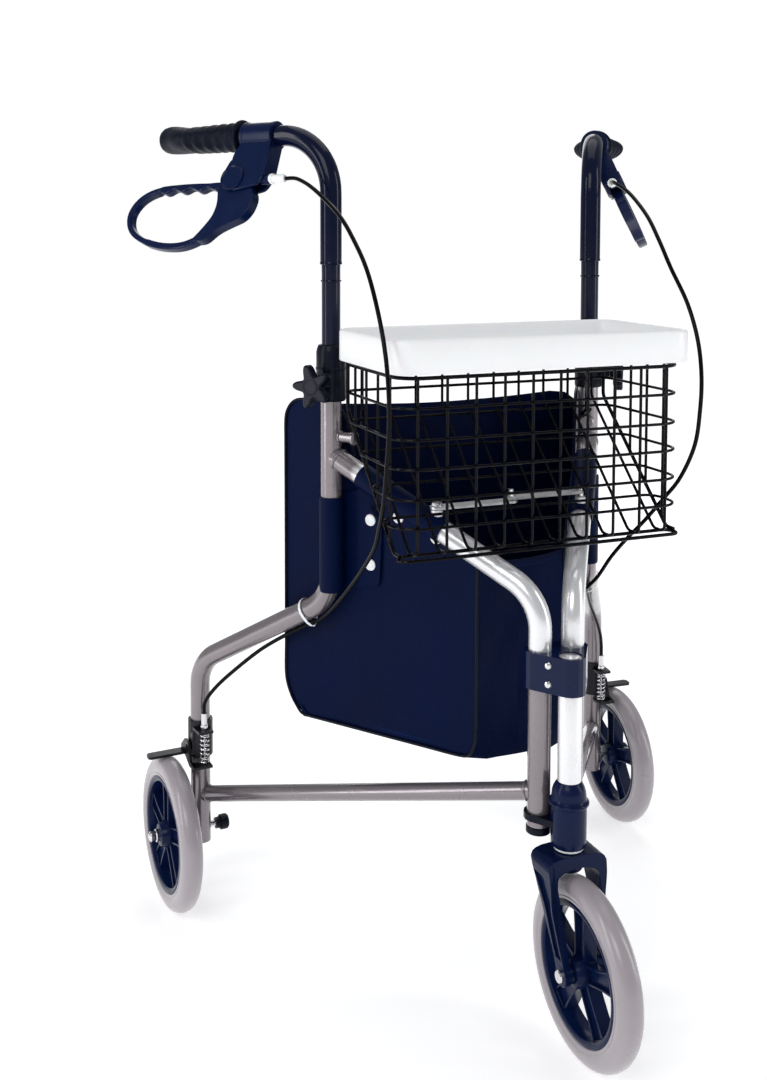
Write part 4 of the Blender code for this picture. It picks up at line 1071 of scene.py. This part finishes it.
class WALKER_OT_bag(bpy.types.Operator):
    """Vinyl shopping bag hung between the side frames, with its piping, sleeves and press studs"""
    bl_idname = "walker.bag"
    bl_label = "Bag"

    def execute(self, context):
        f = finishes()
        rim = []
        for side in (-1, 1):
            stations = RIM_STATIONS if side < 0 else tuple(reversed(RIM_STATIONS))
            rim += [(side, t, z) for t, z in stations]
            if side < 0:
                a, b = side_point(BAG_FRONT, BAG_SIDE, 500, -1) * 1000, side_point(BAG_FRONT, BAG_SIDE, 500, 1) * 1000
                rim += [("front", (k + 1) / 8, a, b) for k in range(7)]
        a, b = side_point(BAG_REAR, BAG_SIDE, 632, 1) * 1000, side_point(BAG_REAR, BAG_SIDE, 632, -1) * 1000
        rim += [("rear", (k + 1) / 18, a, b) for k in range(17)]
        floor, rows = 268.6, 30

        def spot(item, v):
            """A point of the wall, v from 0 at the rim to 1 at the floor."""
            if item[0] in (-1, 1):
                side, t, top = item
                z = top + (floor - top) * v
                u = (t - BAG_FRONT) / (BAG_REAR - BAG_FRONT)
                full = math.sin(math.pi * u) * math.sin(math.pi * min(1, v * 1.05)) ** 0.8
                ripple = 1.1 * math.sin(0.05 * t + 5 * v + side) * math.sin(math.pi * u) * (0.3 + v)
                n = -16.6 - 1 * full + min(0, ripple)
                pull = 0
                if v > 0.86:
                    pull = (v - 0.86) / 0.14
                t += pull * pull * 16 * (1 if u < 0.15 else (-1.6 if u > 0.92 else 0)) * (1 - 4 * u * (1 - u))
                return side_point(t, n, z + 2 * full, side)
            kind, s, a, b = item
            point = a.lerp(b, s)
            sag = math.sin(math.pi * s)
            top = point.z + (-7 * sag if kind == "front" else 21 * min(1, 4 * sag) ** 0.6 - 9 * sag)
            z = top + (floor - top) * v
            bow = sag * math.sin(math.pi * v) ** 0.7
            fold = 2.2 * math.sin(8 * s + 6 * v) * sag * (1 - 0.4 * v)
            if kind == "front":
                return mm(point.x, point.y + 5 * bow + abs(fold), z)
            return mm(point.x, point.y - 4 * bow - abs(fold) - 2 * sag, z)

        clear_selection()
        bpy.ops.mesh.primitive_circle_add(vertices=len(rim), fill_type="NOTHING", location=(0, 0, 0))
        bag = ring_on(bpy.context.object, [spot(item, 0) for item in rim])
        count = len(rim)
        edit_all(bag)
        for _ in range(rows + 6):
            bpy.ops.mesh.extrude_region_move(TRANSFORM_OT_translate={"value": (0, 0, -0.01)})
        bpy.ops.object.mode_set(mode="OBJECT")
        base = [spot(item, 1) for item in rim]
        centre = sum(base, Vector()) / count
        for row in range(rows + 7):
            for k, item in enumerate(rim):
                vertex = bag.data.vertices[row * count + k]
                if row <= rows:
                    v = row / rows
                    vertex.co = spot(item, v)
                    if v > 0.97:
                        vertex.co += (centre - vertex.co) * 0.012
                else:
                    g = (row - rows) / 6
                    vertex.co = base[k].lerp(centre, g)
                    vertex.co.z = (floor - 0.4 + 5 * math.sin(math.pi * min(1, g * 1.2)) * g) * 0.001
        bag.data.attributes.new("seam", "FLOAT", "POINT")
        bag.data.attributes.new("run", "FLOAT", "POINT")
        seam, run = [], []
        for row in range(rows + 7):
            for k, item in enumerate(rim):
                v = min(row / rows, 1)
                height = (spot(item, 0).z - spot(item, 1).z)
                edges = [abs(height * v - 0.007), abs(height * (1 - v) - 0.009) if row <= rows else 0.05]
                along = side_length(item)
                if item[0] in (-1, 1):
                    edges += [abs(item[1] - BAG_FRONT - 8) * 0.001, abs(BAG_REAR - item[1] - 8) * 0.001]
                vertical = min(edges[2:]) < min(edges[:2]) if len(edges) > 2 else False
                seam.append(min(edges))
                run.append(height * v if vertical else along)
        bag.data.attributes["seam"].data.foreach_set("value", seam)
        bag.data.attributes["run"].data.foreach_set("value", run)
        close_up(bag, "shopping_bag_piece", 60)
        edit_all(bag)
        bpy.ops.mesh.normals_make_consistent(inside=False)
        bpy.ops.object.mode_set(mode="OBJECT")
        outside = next(p for p in bag.data.polygons
                       if p.center.y > 0.1 and abs(p.center.x) < 0.05 and p.center.z > 0.35)
        if outside.normal.y < 0:
            edit_all(bag)
            bpy.ops.mesh.flip_normals()
            bpy.ops.object.mode_set(mode="OBJECT")
        for name, part in self.panels(bag).items():
            apply_modifier(part, "SOLIDIFY", thickness=0.0016, offset=-1)
            bpy.ops.object.shade_smooth_by_angle(angle=math.radians(60))
            tag, where = name.split("_")
            if where == "side":
                fit_out(part, f["vinyl"], f"{tag}_frame", ["shopping_bag"])
            elif where == "bottom":
                fit_out(part, f["vinyl"], "head", ["shopping_bag"])
                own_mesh(part)
            else:
                fit_out(part, f["vinyl"], None, ["shopping_bag"])
                corner = side_point(BAG_REAR if where == "rear" else BAG_FRONT, BAG_SIDE, 400,
                                    1 if tag == "left" else -1)
                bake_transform(part)

        # piping round the side panels
        lines = []
        for side in (-1, 1):
            loop = [side_point(t, -15.4, z, side) for t, z in RIM_STATIONS]
            loop += [side_point(84.5, -15.6, z, side) for z in (480, 440, 400, 360, 330, 300)]
            loop += [side_point(87.5, -15.8, 284, side), side_point(94, -15.9, 274, side), side_point(106, -16, 270.6, side)]
            loop += [side_point(t, -16.4, 270.2, side) for t in (150, 200, 250, 300, 314)]
            loop += [side_point(325, -16, 272, side), side_point(331.8, -15.8, 279, side), side_point(341.1, -15.6, 293, side),
                     side_point(348.2, -15.5, 316, side)]
            loop += [side_point(348.2, -15.5, z, side) for z in (360, 420, 480, 540, 600)]
            lines.append(drawn("piping", smooth_line(loop, 6, True), 1.7, 10, True))
        for tag, piping in zip(("right", "left"), lines):
            piping.name = piping.data.name = f"{tag}_bag_piping_piece"
            fit_out(piping, f["black"], f"{tag}_frame", ())
        self.fastenings(f)
        return {"FINISHED"}

    def panels(self, bag):
        """The shell cut at its seams and down the middle into its panels."""
        found = {}
        tests = (("whole_bottom", lambda face: abs(face.normal.z) > 0.6 and face.center.z < 0.285),
                 ("right_side", lambda face: face.normal.x < -0.62), ("left_side", lambda face: face.normal.x > 0.62),
                 ("right_rear", lambda face: face.center.y > 0.08 and face.center.x < 0),
                 ("left_rear", lambda face: face.center.y > 0.08), ("right_front", lambda face: face.center.x < 0))
        for name, test in tests:
            edit_faces(bag, test)
            bpy.ops.mesh.separate(type="SELECTED")
            bpy.ops.object.mode_set(mode="OBJECT")
            found[name] = next(o for o in bpy.context.selected_objects if o is not bag)
        found["left_front"] = bag
        for name, part in found.items():
            part.name = part.data.name = f"bag_{name}_piece"
        return found

    def fastenings(self, f):
        """Sleeves round the tubes with their tongues, and the press studs that close them."""
        p = side_point
        wrap = turned("wrap", [(12.9, 438), (14.1, 437.4), (14.5, 440), (14.5, 548), (14.1, 550.4), (12.9, 550)],
                      p(POST, 0, 0), p(0, 0, 1) - p(0, 0, 0), 36)
        tongue = slab("tongue", rounded([(212, 446), (268, 440), (268, 549), (210, 572), (206, 560)], (10, 3, 3, 10, 6)),
                      -15.6, -14.2, lambda u, v, n: p(u, n, v), 0.5)
        slope = p(265, 0, 598) - p(0, 0, 473)
        start = p(118, 0, 528.7)
        upper = turned("upper_wrap", [(12.9, 0), (14.1, -0.6), (14.5, 2), (14.5, 118), (14.1, 120.4), (12.9, 120)],
                       start, slope, 36)
        flap = slab("flap", rounded([(116, 526), (226, 578), (226, 538), (206, 522), (122, 498), (112, 506)],
                                    (3, 3, 10, 10, 10, 8)), -15.6, -14.2, lambda u, v, n: p(u, n, v), 0.5)
        pair(joined("sleeve", [wrap, tongue, upper, flap]), "bag_sleeve", f["vinyl"], "frame", ())
        studs = []
        across = p(0, 1, 0) - p(0, 0, 0)
        for t, z in ((224, 564), (224, 525), (224, 472), (186, 533), (136, 516)):
            studs.append(turned("stud", [(0, -14.4), (6.6, -14.4), (7, -13.8), (6.8, -13), (5.4, -12.2), (4.2, -12.2),
                                         (3.6, -12.8), (0, -13)], p(t, 0, z), across, 28, 50))
        pair(joined("studs", studs), "press_studs", f["white"], "frame", ())


def side_length(item):
    """Length along the rim, in metres, for spacing stitches."""
    if item[0] in (-1, 1):
        return item[1] * 0.001
    return 0.6 + item[1] * 0.3


class WALKER_OT_stage(bpy.types.Operator):
    """Pale floor that glows, dimmer near the walker and brighter further out, soft studio light and the camera"""
    bl_idname = "walker.stage"
    bl_label = "Stage"

    def execute(self, context):
        clear_selection()
        bpy.ops.mesh.primitive_plane_add(size=40, location=(0, 0, -0.0006))
        floor = close_up(bpy.context.object, "stage_floor", turn=False)
        f = Finish("glowing_stage_floor", Roughness=0.85, Emission_Strength=0.8)
        tone = f.blend(f.noise(3), (0.86, 0.86, 0.865), (0.88, 0.88, 0.885))
        # The floor glows: its emission is painted dimmer near the walker and brighter further out, a painted light.
        away = f.ramp(f.node("ShaderNodeVectorMath", {"operation": "LENGTH"}, {0: f.where}, out="Value"), 0.9, 2.6)
        glow = f.blend(away, (0.6, 0.6, 0.6), (1, 1, 1))
        floor.data.materials.append(f.wire(Base_Color=tone, Emission_Color=glow))

        def panel(name, location, aim, size, power, size_y=None):
            light = bpy.data.lights.new(name, "AREA")
            light.shape, light.size, light.size_y, light.energy = "RECTANGLE", size, size_y or size, power
            lamp = bpy.data.objects.new(name, light)
            lamp.location = location
            lamp.rotation_euler = (Vector(aim) - Vector(location)).to_track_quat("-Z", "Y").to_euler()
            context.scene.collection.objects.link(lamp)

        panel("key_panel", (-1.9, -1.9, 2.3), (0, 0, 0.5), 1.5, 25)
        panel("strip_left", (-2.2, 0.1, 1.1), (0, 0, 0.6), 0.35, 13, 1.9)
        panel("strip_right", (1.9, -1.3, 1.2), (0, 0, 0.6), 0.5, 14, 1.9)
        panel("top_panel", (0.3, 0.4, 2.6), (0, 0, 0.4), 1.8, 13)
        panel("rear_panel", (0.8, 2.4, 1.7), (0, 0, 0.5), 1.6, 12)

        world = bpy.data.worlds.new("studio_air")
        world.use_nodes = True
        tree = world.node_tree
        tree.nodes.clear()
        out = tree.nodes.new("ShaderNodeOutputWorld")
        mix = tree.nodes.new("ShaderNodeMixShader")
        path = tree.nodes.new("ShaderNodeLightPath")
        near, far = tree.nodes.new("ShaderNodeBackground"), tree.nodes.new("ShaderNodeBackground")
        near.inputs[0].default_value, near.inputs[1].default_value = (0.95, 0.97, 1, 1), 0.32
        far.inputs[0].default_value, far.inputs[1].default_value = (1, 1, 1, 1), 1
        tree.links.new(path.outputs["Is Camera Ray"], mix.inputs[0])
        tree.links.new(near.outputs[0], mix.inputs[1])
        tree.links.new(far.outputs[0], mix.inputs[2])
        tree.links.new(mix.outputs[0], out.inputs[0])
        context.scene.world = world
        context.scene.view_settings.view_transform = "Standard"

        view = bpy.data.cameras.new("studio_camera")
        view.lens, view.sensor_width, view.sensor_fit = 42.29, 36, "AUTO"
        view.shift_x, view.shift_y = 0.031, -0.2222
        view.clip_start = 0.05
        camera = bpy.data.objects.new("studio_camera", view)
        azimuth, pitch = math.radians(-21.39), math.radians(3.62)
        camera.location = (-0.6931, -1.3206, 0.8753)
        aim = Vector((-math.sin(azimuth) * math.cos(pitch), math.cos(azimuth) * math.cos(pitch), -math.sin(pitch)))
        camera.rotation_euler = aim.to_track_quat("-Z", "Y").to_euler()
        context.scene.collection.objects.link(camera)
        context.scene.camera = camera
        return {"FINISHED"}


# ---------------------------------------------------------------- add-on

STEPS = (WALKER_OT_stage, WALKER_OT_side_frames, WALKER_OT_head, WALKER_OT_caster, WALKER_OT_wheels, WALKER_OT_handles,
         WALKER_OT_grips, WALKER_OT_brake_levers, WALKER_OT_brake_cables, WALKER_OT_rear_brakes, WALKER_OT_link,
         WALKER_OT_basket, WALKER_OT_tray, WALKER_OT_bag)


class WALKER_PT_build(bpy.types.Panel):
    bl_label = "Three-wheeled walker"
    bl_idname = "WALKER_PT_build"
    bl_space_type = "VIEW_3D"
    bl_region_type = "UI"
    bl_category = "Walker"

    def draw(self, context):
        layout = self.layout
        for group in (context.scene.walker_sizes, context.scene.walker_colours):
            box = layout.box()
            for key in group.__annotations__:
                box.prop(group, key)
        for step in STEPS:
            layout.operator(step.bl_idname)


CLASSES = (WalkerSizes, WalkerColours, *STEPS, WALKER_PT_build)


def register():
    for item in CLASSES:
        bpy.utils.register_class(item)
    bpy.types.Scene.walker_sizes = PointerProperty(type=WalkerSizes)
    bpy.types.Scene.walker_colours = PointerProperty(type=WalkerColours)


def unregister():
    del bpy.types.Scene.walker_colours
    del bpy.types.Scene.walker_sizes
    for item in reversed(CLASSES):
        bpy.utils.unregister_class(item)


def main():
    register()
    for step in STEPS:
        group, name = step.bl_idname.split(".")
        getattr(getattr(bpy.ops, group), name)()
    clear_selection()


if __name__ == "__main__":
    main()
